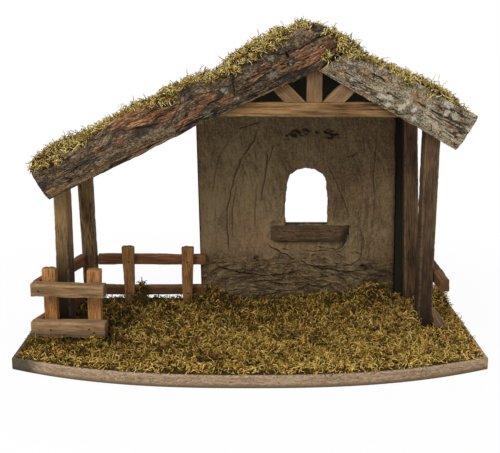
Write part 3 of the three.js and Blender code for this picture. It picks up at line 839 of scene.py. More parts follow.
class Finish(Enum):
    """The finishes of the stable."""

    POST_LIGHT = SawnWood(
        "post_light", (62, 47, 28), (108, 86, 55), (140, 113, 74), (150, 126, 90),
        grime=0.35, streaks=0.1, fibre=0.3,
    )
    POST_RED = SawnWood(
        "post_red", (54, 39, 26), (94, 72, 49), (119, 95, 67), (138, 116, 86),
        figure=0.2, grime=0.4, streaks=0.06, fibre=0.2,
    )
    WEDGE = SawnWood(
        "wedge_wood", (92, 70, 50), (132, 106, 80), (158, 132, 104), (170, 146, 118), grime=0.2, foot=0.0
    )
    TRUSS = SawnWood(
        "truss_wood", (92, 70, 46), (128, 101, 70), (152, 125, 91), (144, 118, 86),
        figure=0.18, grime=0.1, streaks=0.04, fibre=0.2,
    )
    TIE = SawnWood(
        "tie_wood", (74, 50, 28), (118, 90, 56), (152, 121, 79), (156, 126, 85),
        bands=5.0, figure=0.3, grime=0.12, streaks=0.34, fibre=0.5, spread=0.12,
    )
    FENCE_RAIL = SawnWood(
        "fence_rail_wood", (112, 86, 58), (152, 121, 85), (180, 149, 110), (190, 162, 124),
        bands=5.0, figure=0.25, grime=0.18, streaks=0.12,
    )
    FENCE_PICKET = SawnWood(
        "fence_picket_wood", (112, 70, 35), (168, 121, 70), (198, 153, 99), (190, 146, 98),
        bands=9.0, figure=0.35, grime=0.2, streaks=0.4,
    )
    BACK_PICKET = SawnWood(
        "back_picket_wood", (92, 62, 32), (142, 102, 60), (172, 130, 80), (164, 128, 84),
        bands=7.0, figure=0.3, grime=0.3, streaks=0.25,
    )
    STAINED_RAIL = SawnWood(
        "stained_rail_wood", (74, 45, 27), (118, 77, 49), (146, 103, 69), (150, 112, 78),
        bands=6.0, figure=0.25, grime=0.35, streaks=0.2,
    )
    DARK_BARK = Bark(
        "dark_bark", (33, 26, 19), (71, 58, 44), (138, 119, 92), (19, 14, 10), (116, 78, 48), (190, 146, 102),
        (164, 132, 96), (140, 144, 124), 1.3, 1.05, 0.3,
    )
    PALE_BARK = Bark(
        "pale_bark", (72, 60, 45), (140, 126, 104), (200, 190, 165), (50, 38, 26), (124, 98, 70),
        (172, 146, 114), (140, 112, 80), (204, 200, 178), 1.1, 1.5, 0.85,
    )
    LOG_BARK = Bark(
        "log_bark", (58, 45, 32), (97, 78, 56), (120, 100, 72), (34, 25, 18), (90, 64, 45), (118, 90, 62),
        (74, 52, 38), (96, 80, 57), 0.5, 0.3,
    )
    PLASTER = TrowelledPlaster()
    FLOOR_MOSS = DriedMoss("floor_moss", (36, 24, 6), (112, 87, 29), (204, 163, 71), (255, 221, 130))
    ROOF_MOSS = DriedMoss("roof_moss", (36, 24, 9), (110, 86, 33), (198, 162, 78), (255, 238, 166))
    MOSS_BED = MossBed()
    CHIPBOARD = Chipboard()
    WALL_BOARD = DarkBoard("wall_board_wood", (40, 36, 24), (112, 88, 60), (0.9, 0.9, 0.04), 123.0)
    ROOF_BOARD = DarkBoard("roof_board_wood", (64, 50, 36), (104, 82, 58), (0.05, 0.9, 0.9), -5.0)
    NAIL = NailMetal()

    def material(self) -> bpy.types.Material:
        """The finish's material, made the first time it is asked for."""
        if self.name not in MADE:
            MADE[self.name] = self.value.make()
        return MADE[self.name]


# Sticks


def section(corner_steps: int = 3, side_steps: int = 7) -> tuple[Array, Array, Array, Array, Array]:
    """The outline of a rounded rectangle as signs, normals and nearness to a corner.

    A point is sign * (half size - radius) + normal * radius. Each corner is an arc of
    normals, and between two arcs the sign runs straight while the normal stays.

    Args:
        corner_steps: Steps of each corner's arc.
        side_steps: Steps of each side.

    Returns:
        Signs across and through, normals across and through, and 1 at a corner.
    """
    signs = np.array([[1, 1], [-1, 1], [-1, -1], [1, -1]], float)
    parts = []
    for turn in range(4):
        angle = np.linspace(0, math.pi / 2, corner_steps + 1) + turn * math.pi / 2
        arc = stack(np.full_like(angle, signs[turn, 0]), signs[turn, 1], np.cos(angle), np.sin(angle), 1.0)
        t = np.linspace(0, 1, side_steps + 1)[1:-1, None]
        corner, following = signs[turn], signs[(turn + 1) % 4]
        line = corner + (following - corner) * t
        normal = np.repeat([[math.cos(angle[-1]), math.sin(angle[-1])]], len(t), axis=0)
        near = np.abs(2 * t - 1) ** 6
        parts += [arc, np.hstack([line, normal, near])]
    outline = np.vstack(parts)
    return tuple(outline[:, n] for n in range(5))


@dataclass
class Stick:
    """A sawn stick: a rounded rectangle carried along a line, worn, waved and cut at both ends."""

    name: str
    finish: Finish
    slot: str
    origin: Vector
    across: Vector
    through: Vector
    along: Vector
    length: float
    size: Callable[[Array], tuple[Any, Any]]
    sway: Callable[[Array], tuple[Any, Any]] = lambda t: (0.0, 0.0)
    start: Callable[[Array, Array], Any] = lambda u, v: 0.0
    end: Callable[[Array, Array], Any] | None = None
    radius: float = 1.1
    end_radius: float = 0.5
    tone: float = 0.0
    seed: float = 0.0
    chips: float = 1.3
    # Painted shade: a slope that lightens one end of the stick and darkens the other, and a further darkening
    # of its low part.
    fade: float = 0.0
    low_shade: float = 0.0

    def patch(self) -> Patch:
        """The stick's surface.

        A point is origin + across * u + through * v + along * w. u and v follow the rounded
        outline plus fine ripples along the fibre, less chips at the arrises; w runs from the
        start cut to the end cut; near an end the outline draws in on a quarter circle.

        Returns:
            The closed surface.
        """
        sign_u, sign_v, normal_u, normal_v, corner = section()
        turn = np.radians([0, 35, 65, 90])
        lead = self.end_radius * (1 - np.cos(turn))
        draw = self.end_radius * (1 - np.sin(turn))
        steps = max(8, int(self.length / 1.6))
        body = np.linspace(self.end_radius, self.length - self.end_radius, steps)[1:-1]
        run = np.concatenate([lead, body, self.length - lead[::-1]])[:, None]
        inset = np.concatenate([draw, 0 * body, draw[::-1]])[:, None]
        t = run / self.length
        width, depth = (np.asarray(value, float) / 2 for value in self.size(t))
        u = sign_u * (width - self.radius) + normal_u * (self.radius - inset)
        v = sign_v * (depth - self.radius) + normal_v * (self.radius - inset)
        s = self.seed * 7.7
        ripple = 0.14 * NOISE.at(u / 1.2 + s, v / 1.2, run / 16) + 0.3 * NOISE.at(u / 5, v / 5 + s, run / 40)
        chip = np.clip(NOISE.layers(u / 5 + s, v / 5, run / 7, 2) - 0.12, 0, 1) * self.chips * corner
        u, v = u + normal_u * (ripple - chip), v + normal_v * (ripple - chip)
        low = self.start(u, v) + 0 * u
        high = (self.end(u, v) if self.end else self.length) + 0 * u
        ragged = 0.35 * NOISE.at(u / 2.2 + s, v / 2.2, 3.3) * (t > 0.5)
        w = low + (high - low + ragged) * t
        shift_u, shift_v = self.sway(t)
        axes = [np.array(axis, float) for axis in (self.across, self.through, self.along)]
        rings = (
            np.array(self.origin, float)
            + (u + shift_u)[..., None] * axes[0]
            + (v + shift_v)[..., None] * axes[1]
            + w[..., None] * axes[2]
        )
        traits = {
            "grain": stack(u + 41 * self.seed, v + 13 * self.seed, w + 57 * self.seed),
            "arris": np.broadcast_to(corner, u.shape).copy(),
            "end": np.broadcast_to(inset / self.end_radius, u.shape).copy(),
            # Tone, with the painted shade along the stick and on its low part.
            "tone": self.tone + self.fade * (t - 0.5) - self.low_shade * (1 - smooth(run, 35, 105)) + 0 * u,
        }
        return Patch.tube(rings, traits)

    def build(self) -> bpy.types.Object:
        """Makes the stick in place of the CAD node of its name."""
        return self.patch().piece(self.name + "_stick", self.finish.material(), self.slot, [self.name])


def turned(angle: float) -> tuple[Vector, Vector]:
    """The X and Y directions turned about Z by an angle in degrees."""
    c, s = math.cos(math.radians(angle)), math.sin(math.radians(angle))
    return (c, s, 0.0), (-s, c, 0.0)


UP = (0.0, 0.0, 1.0)


@dataclass
class Posts:
    """The four sticks that carry the roof, cut at the top to the slope of its panels."""

    slot: str = "weathered_stick"
    specs: tuple[tuple[Any, ...], ...] = (
        # The last three numbers of each post are its tone, the slope of painted shade along it, and the
        # painted shade low down on it.
        ("front_left_post", -207.7, 19.0, 15.0, 20.0, -8.8, 0.004,
         ROOF.left_under, 0.4, Finish.POST_LIGHT, 0.14, 0.42, 0.6),
        ("back_left_post", -191.9, 107.0, 16.6, 18.0, 0.0, -0.022,
         ROOF.left_under, 1.9, Finish.POST_LIGHT, 0.0, 0.0, 0.1),
        ("front_right_post", 195.9, 18.9, 16.6, 20.0, 4.0, 0.006,
         ROOF.right_under, 3.1, Finish.POST_RED, -0.03, 0.14, 0.1),
        ("rear_right_post", 196.6, 109.0, 16.8, 17.4, 0.0, -0.04,
         ROOF.right_under, 4.6, Finish.POST_RED, -0.02, -0.06, 0.0),
    )

    def stick(self, spec: tuple[Any, ...]) -> Stick:
        """Sets out one post from its numbers.

        Args:
            spec: Name, x, y, width, depth, turn, lean, height of the roof over it, phase, finish,
            tone, the slope of painted shade along it, and the painted shade low down on it.

        Returns:
            The post.
        """
        name, x, y, width, depth, turn, lean, under, phase, finish, tone, fade, low_shade = spec
        across, through = turned(turn)
        height = under(x) - BOARD_TOP
        return Stick(
            name, finish, self.slot, (x, y, BOARD_TOP), across, through, UP, height,
            size=lambda t: (width + 0.35 * np.sin(6 * t + phase), depth + 0.35 * np.sin(5 * t + 2 * phase)),
            sway=lambda t: (lean * t * height + 0.5 * np.sin(math.pi * t) * math.cos(phase), 0.0),
            end=lambda u, v: under(x + u * across[0] - v * across[1]) - BOARD_TOP - GAP,
            radius=1.5, tone=tone, seed=phase + 1, chips=1.1, fade=fade, low_shade=low_shade,
        )

    def wedge(self) -> None:
        """A pale splinter driven in beside the front right post's foot."""
        lean = math.radians(24)
        along = (math.sin(lean), -0.06, -math.cos(lean))
        across = (math.cos(lean), 0.0, math.sin(lean))
        stick = Stick(
            "front_right_wedge", Finish.WEDGE, self.slot, (204.0, 4.5, 41.0), across, (0.0, 1.0, 0.0), along,
            27.0, size=lambda t: (2.6 + 12.5 * t, 3.4), radius=0.8, seed=9.0, tone=0.0,
        )
        stick.patch().piece("front_right_wedge", stick.finish.material(), self.slot)

    def build(self) -> None:
        """Makes the posts and the wedge."""
        for spec in self.specs:
            self.stick(spec).build()
        self.wedge()


@dataclass
class LeftPanel:
    """The left roof board, stopped short behind the slab's slanting end."""

    lead: float = 6.4

    def build(self) -> None:
        """Lays the board up the slope from behind the slab's end to the ridge."""
        low, high = (1000 * np.array(corner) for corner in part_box("left_roof_panel"))
        pitch = math.atan(ROOF.left_slope)
        c, s = math.cos(pitch), math.sin(pitch)
        middle = ROOF.left(low[0]) - ROOF.panel_drop - ROOF.panel_thick / 2 / c
        Stick(
            "left_roof_panel", Finish.ROOF_BOARD, "dark_board", (low[0], (low[1] + high[1]) / 2, middle),
            (0.0, 1.0, 0.0), (-s, 0.0, c), (c, 0.0, s), (high[0] - low[0]) / c,
            size=lambda t: (high[1] - low[1] + 0 * t, ROOF.panel_thick + 0 * t),
            start=lambda u, v: self.lead + 0 * u, end=lambda u, v: (high[0] - low[0] + s * v) / c,
            radius=0.7, chips=0.6, seed=12.0,
        ).build()


def rail(
    name: str, finish: Finish, slot: str, place: Vector, turn: float, length: float,
    height: float, thick: float, slant: float = 0.0, phase: float = 0.0, **extra: Any,
) -> Stick:
    """A stick laid level from its left end.

    Args:
        name: CAD node it stands for.
        finish: Its finish.
        slot: Its material slot.
        place: Middle of its left end.
        turn: Degrees about Z from +X.
        length: Its length.
        height: Its height.
        thick: Its thickness.
        slant: Slope of the far end's cut.
        phase: Start of its waves.
        extra: More of the stick's own fields.

    Returns:
        The rail.
    """
    along, across = turned(turn)
    return Stick(
        name, finish, slot, place, across, UP, along, length,
        size=lambda t: (thick, height + 0.3 * np.sin(13.6 * t + phase)),
        sway=lambda t: (0.0, 0.3 * np.sin(6.4 * t + phase)),
        end=lambda u, v: length + slant * u,
        seed=phase + 2.5, **extra,
    )


def picket(
    name: str, finish: Finish, place: Pair, turn: float, top: float, foot: float, thick: float,
    phase: float, **extra: Any,
) -> Stick:
    """An upright stick with a softly rounded head that tapers to its foot.

    Args:
        name: CAD node it stands for.
        finish: Its finish.
        place: Middle of its foot, in x and y.
        turn: Degrees about Z.
        top: Height of its head.
        foot: Width at its foot.
        thick: Its thickness.
        phase: Start of its waves.
        extra: More of the stick's own fields.

    Returns:
        The picket.
    """
    across, through = turned(turn)
    length = top - BOARD_TOP
    return Stick(
        name, finish, "picket_wood", (*place, BOARD_TOP), across, through, UP, length,
        size=lambda t: (foot + (15.0 - foot) * t, thick + 0 * t),
        sway=lambda t: (0.4 * np.sin(5 * t + phase), 0.0),
        end=lambda u, v: length - 0.016 * u**2 + 0.25 * np.sin(0.7 * u + phase),
        seed=phase + 5.5, end_radius=1.3, **extra,
    )


@dataclass
class Fences:
    """The back fence, the stout front fence and the rails along both sides."""

    front_place: Pair = (-236.3, -31.5)
    front_turn: float = -5.0
    front_thick: float = 15.0

    def in_front(self, x: float, y: float) -> Pair:
        """A place on the turned front fence, as a place on the board."""
        right, away = turned(self.front_turn)
        return tuple(self.front_place[n] + right[n] * x + away[n] * y for n in range(2))

    def back_fence(self) -> list[Stick]:
        """Two level rails behind two pickets, between the back left post and the wall."""
        rails = [
            rail(
                f"back_fence_{level}_rail", finish, "stained_rail",
                (-183.2, 107.0, top - height / 2), 0.0, 129.8 + n, height, 10.0, phase=2.0 * n, tone=tone,
            )
            for n, (level, finish, top, height, tone) in enumerate(
                [
                    ("top", Finish.STAINED_RAIL, 75.3, 11.8, 0.08),
                    ("low", Finish.BACK_PICKET, 36.4, 10.8, -0.26),
                ]
            )
        ]
        pickets = [
            picket(name, Finish.BACK_PICKET, (x, 97.15), 0.0, top, 11.0, 9.0, phase, tone=tone)
            for name, x, top, phase, tone in (
                ("back_fence_left_picket", -145.6, 88.1, 0.0, 0.06),
                ("back_fence_right_picket", -75.1, 87.4, 3.0, 0.03),
            )
        ]
        return rails + pickets

    def front_fence(self) -> list[Stick]:
        """Two thick rails before two pickets."""
        sticks = []
        rails = (("top", 78.4, 13.8, 80.0), ("low", 36.0, 17.4, 81.5))
        for n, (level, top, height, length) in enumerate(rails):
            place = (*self.in_front(-1.5 * n, self.front_thick / 2), top - height / 2)
            sticks.append(
                rail(
                    f"front_fence_{level}_rail", Finish.FENCE_RAIL, "fence_rail", place,
                    self.front_turn, length, height, self.front_thick,
                    phase=1.0 + 2 * n, tone=0.11 * n - 0.04, radius=1.2, chips=1.8,
                )
            )
        for name, x, top, phase in (
            ("front_fence_left_picket", 16.3, 92.2, 0.0),
            ("front_fence_right_picket", 65.6, 92.0, 2.0),
        ):
            place = self.in_front(x, self.front_thick + 5.35)
            sticks.append(
                picket(name, Finish.FENCE_PICKET, place, self.front_turn, top, 14.0, 10.0, phase, tone=0.05)
            )
        return sticks

    def side_rails(self) -> list[Stick]:
        """Two rails on the left and one along the outer faces of the right posts."""
        turn = 73.9
        slant = math.tan(math.radians(90 - turn))
        left = [
            rail(
                f"left_side_{level}_rail", Finish.STAINED_RAIL, "stained_rail",
                (-233.2, -15.2, top - 7), turn, 116.8, 14.0, 7.5, slant, 4.0 * n, tone=0.05,
            )
            for n, (level, top) in enumerate([("top", 78.0), ("low", 35.2)])
        ]
        right = rail(
            "right_side_rail", Finish.BACK_PICKET, "stained_rail",
            (212.0, -17.0, 73.0), 91.7, 138.0, 14.0, 10.6, phase=5.0, tone=-0.16,
        )
        return left + [right]

    def nails(self) -> None:
        """Small domed nail heads, each a profile turned about the line it was driven along."""
        heads = [
            (*self.in_front(x, -0.15), z) for x, z in ((8.5, 71.0), (20.6, 27.6), (63.0, 29.5), (68.2, 26.0))
        ]
        heads += [(-145.3, 92.4, 69.5), (-75.0, 92.4, 69.0), (-145.8, 92.4, 31.0), (-74.8, 92.4, 30.6)]
        patches = []
        for x, y, z in heads:
            turn = np.linspace(0, 2 * math.pi, 13)[:-1]
            radius = np.array([0.9, 1.15, 1.05, 0.6, 0.15])[:, None]
            proud = np.array([-0.6, 0.1, 0.4, 0.6, 0.66])[:, None]
            rings = stack(x + radius * np.cos(turn), y - proud + 0 * turn, z + radius * np.sin(turn))
            patches.append(Patch.tube(rings, {}))
        Patch.joined(patches).piece("nail_heads", Finish.NAIL.material(), "fence_rail")

    def build(self) -> None:
        """Makes every fence stick and the nails."""
        for stick in self.back_fence() + self.front_fence() + self.side_rails():
            stick.build()
        self.nails()


@dataclass
class Truss:
    """Tie beam, king post and two braces between the slabs."""

    slot: str = "fresh_timber"
    front: float = -6.0
    top: float = 270.8
    king: Pair = (59.6, 76.2)
    foot: float = 23.0

    def tie(self) -> Stick:
        """The level beam, cut off at a slant under the right slab."""
        left, right = -60.0, 205.0
        low = lambda t: 255.9 - 1.3 * t
        return Stick(
            "tie_beam", Finish.TIE, self.slot, (left, self.front + 7, 0.0), (0.0, 1.0, 0.0), UP,
            (1.0, 0.0, 0.0), right - left,
            size=lambda t: (14.0 + 0 * t, self.top - low(t)),
            sway=lambda t: (0.0, (self.top + low(t)) / 2),
            end=lambda u, v: right - left - 19 * np.clip((v + 6.5) / 14.2, 0, 1),
            # painted shade: lighter at the beam's left end and darker at its right end
            seed=3.2, tone=0.06, fade=-0.22, radius=0.9,
        )

    def king_post(self) -> Stick:
        """The upright in the middle."""
        left, right = self.king
        return Stick(
            "king_post", Finish.TRUSS, self.slot, ((left + right) / 2, self.front + 6, self.top),
            (1.0, 0.0, 0.0), (0.0, 1.0, 0.0), UP, 55.2,
            size=lambda t: (right - left - 0.3 * t, 12.0 + 0 * t),
            seed=6.1, tone=-0.02, radius=0.8,
        )

    def brace(self, name: str, side: float) -> Stick:
        """A brace that leans outwards at 45 degrees, cut level at its foot and along the roof."""
        under = ROOF.left_under if side < 0 else ROOF.right_under
        inner = self.king[0] - GAP if side < 0 else self.king[1] + GAP
        x = inner + side * self.foot / 2
        root = math.sqrt(0.5)
        pitch = float(under(1.0) - under(0.0))
        rise = float(under(x)) - GAP - self.top
        return Stick(
            name, Finish.TRUSS, self.slot, (x, self.front + 5.5, self.top), (side * root, 0.0, -root),
            (0.0, 1.0, 0.0), (side * root, 0.0, root), 40.0,
            size=lambda t: (self.foot * root + 0 * t, 11.0 + 0 * t),
            start=lambda u, v: u,
            end=lambda u, v: (rise + root * u * (1 + side * pitch)) / (root * (1 - side * pitch)),
            seed=8.0 + side, tone=0.05 * side, radius=0.8,
        )

    def build(self) -> None:
        """Makes the four timbers."""
        braces = [self.brace("left_brace", -1.0), self.brace("right_brace", 1.0)]
        for stick in [self.tie(), self.king_post()] + braces:
            stick.build()


# Bark slabs


@dataclass(frozen=True)
class Crease:
    """A groove along a line of points on a face, with a burr on one side."""

    path: tuple[Pair, ...]
    width: float = 0.8
    depth: float = 1.0
    burr: float = 0.6

    def over(self, x: Array, z: Array) -> tuple[Array, Array]:
        """The groove's height over the face, and where it lies.

        With d the distance to the line, bent by noise and signed by its side, the height is
        depth * (burr exp(-((d - 1.6 w) / w)^2) - exp(-(d / w)^2)), fading out at both ends.

        Args:
            x: First coordinate of each point of the face.
            z: Second coordinate.

        Returns:
            Millimetres of height, and 1 along the bottom of the groove.
        """
        corners = np.array(self.path, float)
        legs = np.diff(corners, axis=0)
        reach = np.linalg.norm(legs, axis=1)
        seed = float(corners.sum())
        bent = stack(x + 0.9 * NOISE.at(x / 8, z / 8, seed), z + 0.9 * NOISE.at(x / 8, z / 8, seed + 3.3))
        off = bent[..., None, :] - corners[:-1]
        t = np.clip(np.sum(off * legs, axis=-1) / reach**2, 0, 1)
        gap = off - t[..., None] * legs
        distance = np.linalg.norm(gap, axis=-1)
        nearest = np.argmin(distance, axis=-1)

        def pick(values: Array) -> Array:
            """The values at the nearest leg."""
            return np.take_along_axis(values, nearest[..., None], axis=-1)[..., 0]

        d = pick(distance) * np.sign(pick(legs[:, 0] * gap[..., 1] - legs[:, 1] * gap[..., 0]))
        start = np.concatenate([[0], np.cumsum(reach)])
        share = (start[nearest] + pick(t) * reach[nearest]) / reach.sum()
        fade = smooth(share, 0, 0.15) * (1 - smooth(share, 0.8, 1.0))
        bottom = fade * np.exp(-((d / self.width) ** 2))
        burr = self.burr * fade * np.exp(-(((d - 1.6 * self.width) / self.width) ** 2))
        return self.depth * (burr - bottom), bottom

    @staticmethod
    def total(creases: Iterable["Crease"], x: Array, z: Array) -> tuple[Array, Array]:
        """Height and bottom of several grooves together."""
        height, bottom = np.zeros(x.shape), np.zeros(x.shape)
        for crease in creases:
            more, mark = crease.over(x, z)
            # Deeper grooves get darker bottoms: painted shade.
            darkening = min(1.0, max(0.0, 0.8 * crease.depth - 0.25))
            height, bottom = height + more, np.maximum(bottom, mark * darkening)
        return height, bottom


@dataclass(frozen=True)
class Blotch:
    """A slanted oval on a slab's face: its middle, half length, half width, slope and strength."""

    along: float
    up: float
    half_length: float
    half_width: float
    slope: float = 0.0
    strength: float = 1.0

    def over(self, along: Array, up: Array, ragged: Any = 0.0) -> Array:
        """How much it covers: 1.1 minus the squared oval distance, broken up by noise."""
        c, s = math.cos(math.radians(self.slope)), math.sin(math.radians(self.slope))
        length = ((along - self.along) * c + (up - self.up) * s) / self.half_length
        width = ((up - self.up) * c - (along - self.along) * s) / self.half_width
        return self.strength * np.clip(1.1 - length**2 - width**2 + ragged, 0, 1)

    @staticmethod
    def total(blotches: Iterable["Blotch"], along: Array, up: Array, ragged: Any = 0.0) -> Array:
        """How much several of them cover together."""
        return sum((blotch.over(along, up, ragged) for blotch in blotches), np.zeros_like(along))


@dataclass
class BarkSlab:
    """A waney board with its bark on: swells between thin edges, plates, furrows and torn fibre.

    Places on its face are millimetres along it and up it, with 'face' at its upper edge.
    """

    name: str
    node: str
    slot: str
    finish: Finish
    lower: tuple[Pair, ...]
    upper: tuple[Pair, ...]
    seed: float
    rust: tuple[Blotch, ...] = ()
    lichen: tuple[Blotch, ...] = ()
    bare: tuple[Blotch, ...] = ()
    knots: tuple[Blotch, ...] = ()
    bulges: tuple[Blotch, ...] = ()
    tones: tuple[Blotch, ...] = ()
    creases: tuple[Crease, ...] = ()
    rims: tuple[Vector, ...] = ()
    furrows: float = 1.4
    crust: float = 0.6
    scales: float = 0.3
    scale_size: float = 11.0
    back: float = -6.0
    thick: float = 12.0
    face: float = 34.0

    @staticmethod
    def follow(path: tuple[Pair, ...], s: Array) -> tuple[Array, Array]:
        """The points at shares s of a path's length."""
        corners = np.array(path, float)
        reach = np.concatenate([[0], np.cumsum(np.linalg.norm(np.diff(corners, axis=0), axis=1))])
        return tuple(np.interp(s * reach[-1], reach, corners[:, n]) for n in range(2))

    def rim(self, along: Array) -> Array:
        """How far the upper edge stands above its straight line."""
        return sum((rise * hump(along, middle, width) for middle, width, rise in self.rims), 0.0 * along)

    def relief(self, along: Array, up: Array) -> tuple[Array, dict[str, Array]]:
        """Height of the bark over the slab, and the traits that go with it.

        Broad swells along the slab, long furrows and a net of short cracks where stretched
        noises are near zero, a fine crust, ridged fibre where the bark is torn, drawn
        creases, and knots as pits with a raised rim.

        Args:
            along: Millimetres along the slab.
            up: Millimetres up from its lower edge.

        Returns:
            Millimetres of height, and the traits.
        """
        s = self.seed
        wander = up + 2.2 * NOISE.layers(along / 70 + s, up / 22, s, 2)
        swell = 1.2 * NOISE.at(along / 60 + s, wander / 11, 2 * s)
        lines = NOISE.layers(along / 60 + 3 * s, wander / 5.2, s, 3)
        where = smooth(NOISE.at(along / 36, up / 14, 5 + s), -0.1, 0.4)
        furrow = np.exp(-((lines / 0.04) ** 2)) * where
        net = NOISE.layers(along / self.scale_size + s, wander / (0.5 * self.scale_size), 9.0, 3)
        cracks = np.exp(-((net / 0.07) ** 2)) * smooth(NOISE.at(along / 18, up / 9, 3 + s), -0.5, 0.2)
        plates = 0.7 * NOISE.at(along / 13 + s, wander / 3.4, 9.0)
        crust = self.crust * NOISE.layers(along / 3.2, up / 1.7, 3 * s, 3)
        streak = 1.5 * NOISE.layers(along / 15 + s, wander / 1.3, 4.0, 3)
        crumbs = 1.2 * NOISE.layers(along / 4.2, up / 3.2, 8.0 + s, 3)
        masks = {
            key: np.clip(Blotch.total(blotches, along, up, ragged), 0, 1)
            for key, blotches, ragged in (
                ("rust", self.rust, streak),
                ("lichen", self.lichen, crumbs),
                ("bare", self.bare, 0.7 * streak),
            )
        }
        fibre = NOISE.layers(along / 16, wander / 1.0, 6.6, 2)
        drawn, bottom = Crease.total(self.creases, along, up)
        height = swell + plates + crust + drawn - self.furrows * furrow - 1.3 * self.scales * cracks
        height = height + masks["rust"] * (1.3 * fibre - 0.4) + masks["bare"] * (0.7 * fibre - 1.0)
        hole = Blotch.total(self.knots, along, up)
        height = height + 1.6 * np.sin(np.clip(hole, 0, 1) * math.pi) - 4.6 * smooth(hole, 0.45, 1.0)
        height = height + 3.0 * Blotch.total(self.bulges, along, up)
        # Painted shade: furrows, cracks, groove bottoms and knot holes go dark.
        masks["furrow"] = np.clip(furrow + self.scales * cracks + 0.9 * bottom + smooth(hole, 0.4, 0.8), 0, 1)
        toned = Blotch.total(self.tones, along, up)
        # Raised bark, for the painted highlight, with the listed tones added.
        masks["crest"] = np.clip((plates + swell + crust) / 1.6 + toned, -1, 1)
        return height, masks

    def patch(self) -> Patch:
        """The slab's surface.

        Each section runs up the bark from the lower to the upper edge, back over the top and
        down the flat back. The bark stands proud by its thickness, which thins to both edges.

        Returns:
            The closed surface.
        """
        length = math.dist(self.upper[0], self.upper[1])
        rows, front = int(length / 0.55), 84
        s = np.linspace(0, 1, rows)[:, None]
        up = np.linspace(0, 1, front)
        up = up + 0.035 * np.sin(2 * math.pi * up) / math.pi
        t = np.concatenate([up, [1, 1, 1], np.linspace(1, 0, 6), [0, 0, 0]])[None, :]
        share = np.concatenate([np.ones(front), [0.75, 0.5, 0.25], np.zeros(6), [0.25, 0.5, 0.75]])[None, :]
        x0, z0 = self.follow(self.lower, s)
        x1, z1 = self.follow(self.upper, s)
        along = s * length + 0 * t
        edge, run, seed = np.sin(math.pi * s), s * length, self.seed
        wane = edge * (1.3 * NOISE.at(run / 21, seed, 1.5) + 0.8 * NOISE.at(run / 5, seed))
        top_wane = edge * (NOISE.at(run / 17, seed + 8, 2.5) + 0.6 * NOISE.at(run / 4, seed + 8))
        x = x0 + (x1 - x0) * t
        z = z0 + (z1 - z0) * t + wane * (1 - t) ** 4 + top_wane * t**4 + self.rim(along) * t**2.5
        up = self.face * t + 0 * along
        height, traits = self.relief(along, up)
        swell = 1 - np.abs(2 * t - 1) ** 3.4
        proud = (0.5 + 0.5 * swell) * self.thick + (0.25 + 0.75 * swell) * height
        chop = NOISE.layers(x / 3.2, z / 3.2, share * 4 + seed, 2)
        ends = 0.8 * (np.exp(-along / 2) - np.exp(-(length - along) / 2))
        rings = stack(x + ends * chop, self.back - np.maximum(proud, 2.5) * share, z)
        traits["grain"] = stack(self.face * t + 31 * seed, 6 * share, along + 17 * seed)
        traits["bare"] = np.maximum(traits["bare"], (1 - share) * 0.7 + 0 * along)
        return Patch.tube(rings, traits)

    def build(self) -> None:
        """Makes the slab in place of its CAD node."""
        self.patch().piece(self.name, self.finish.material(), self.slot, [self.node])


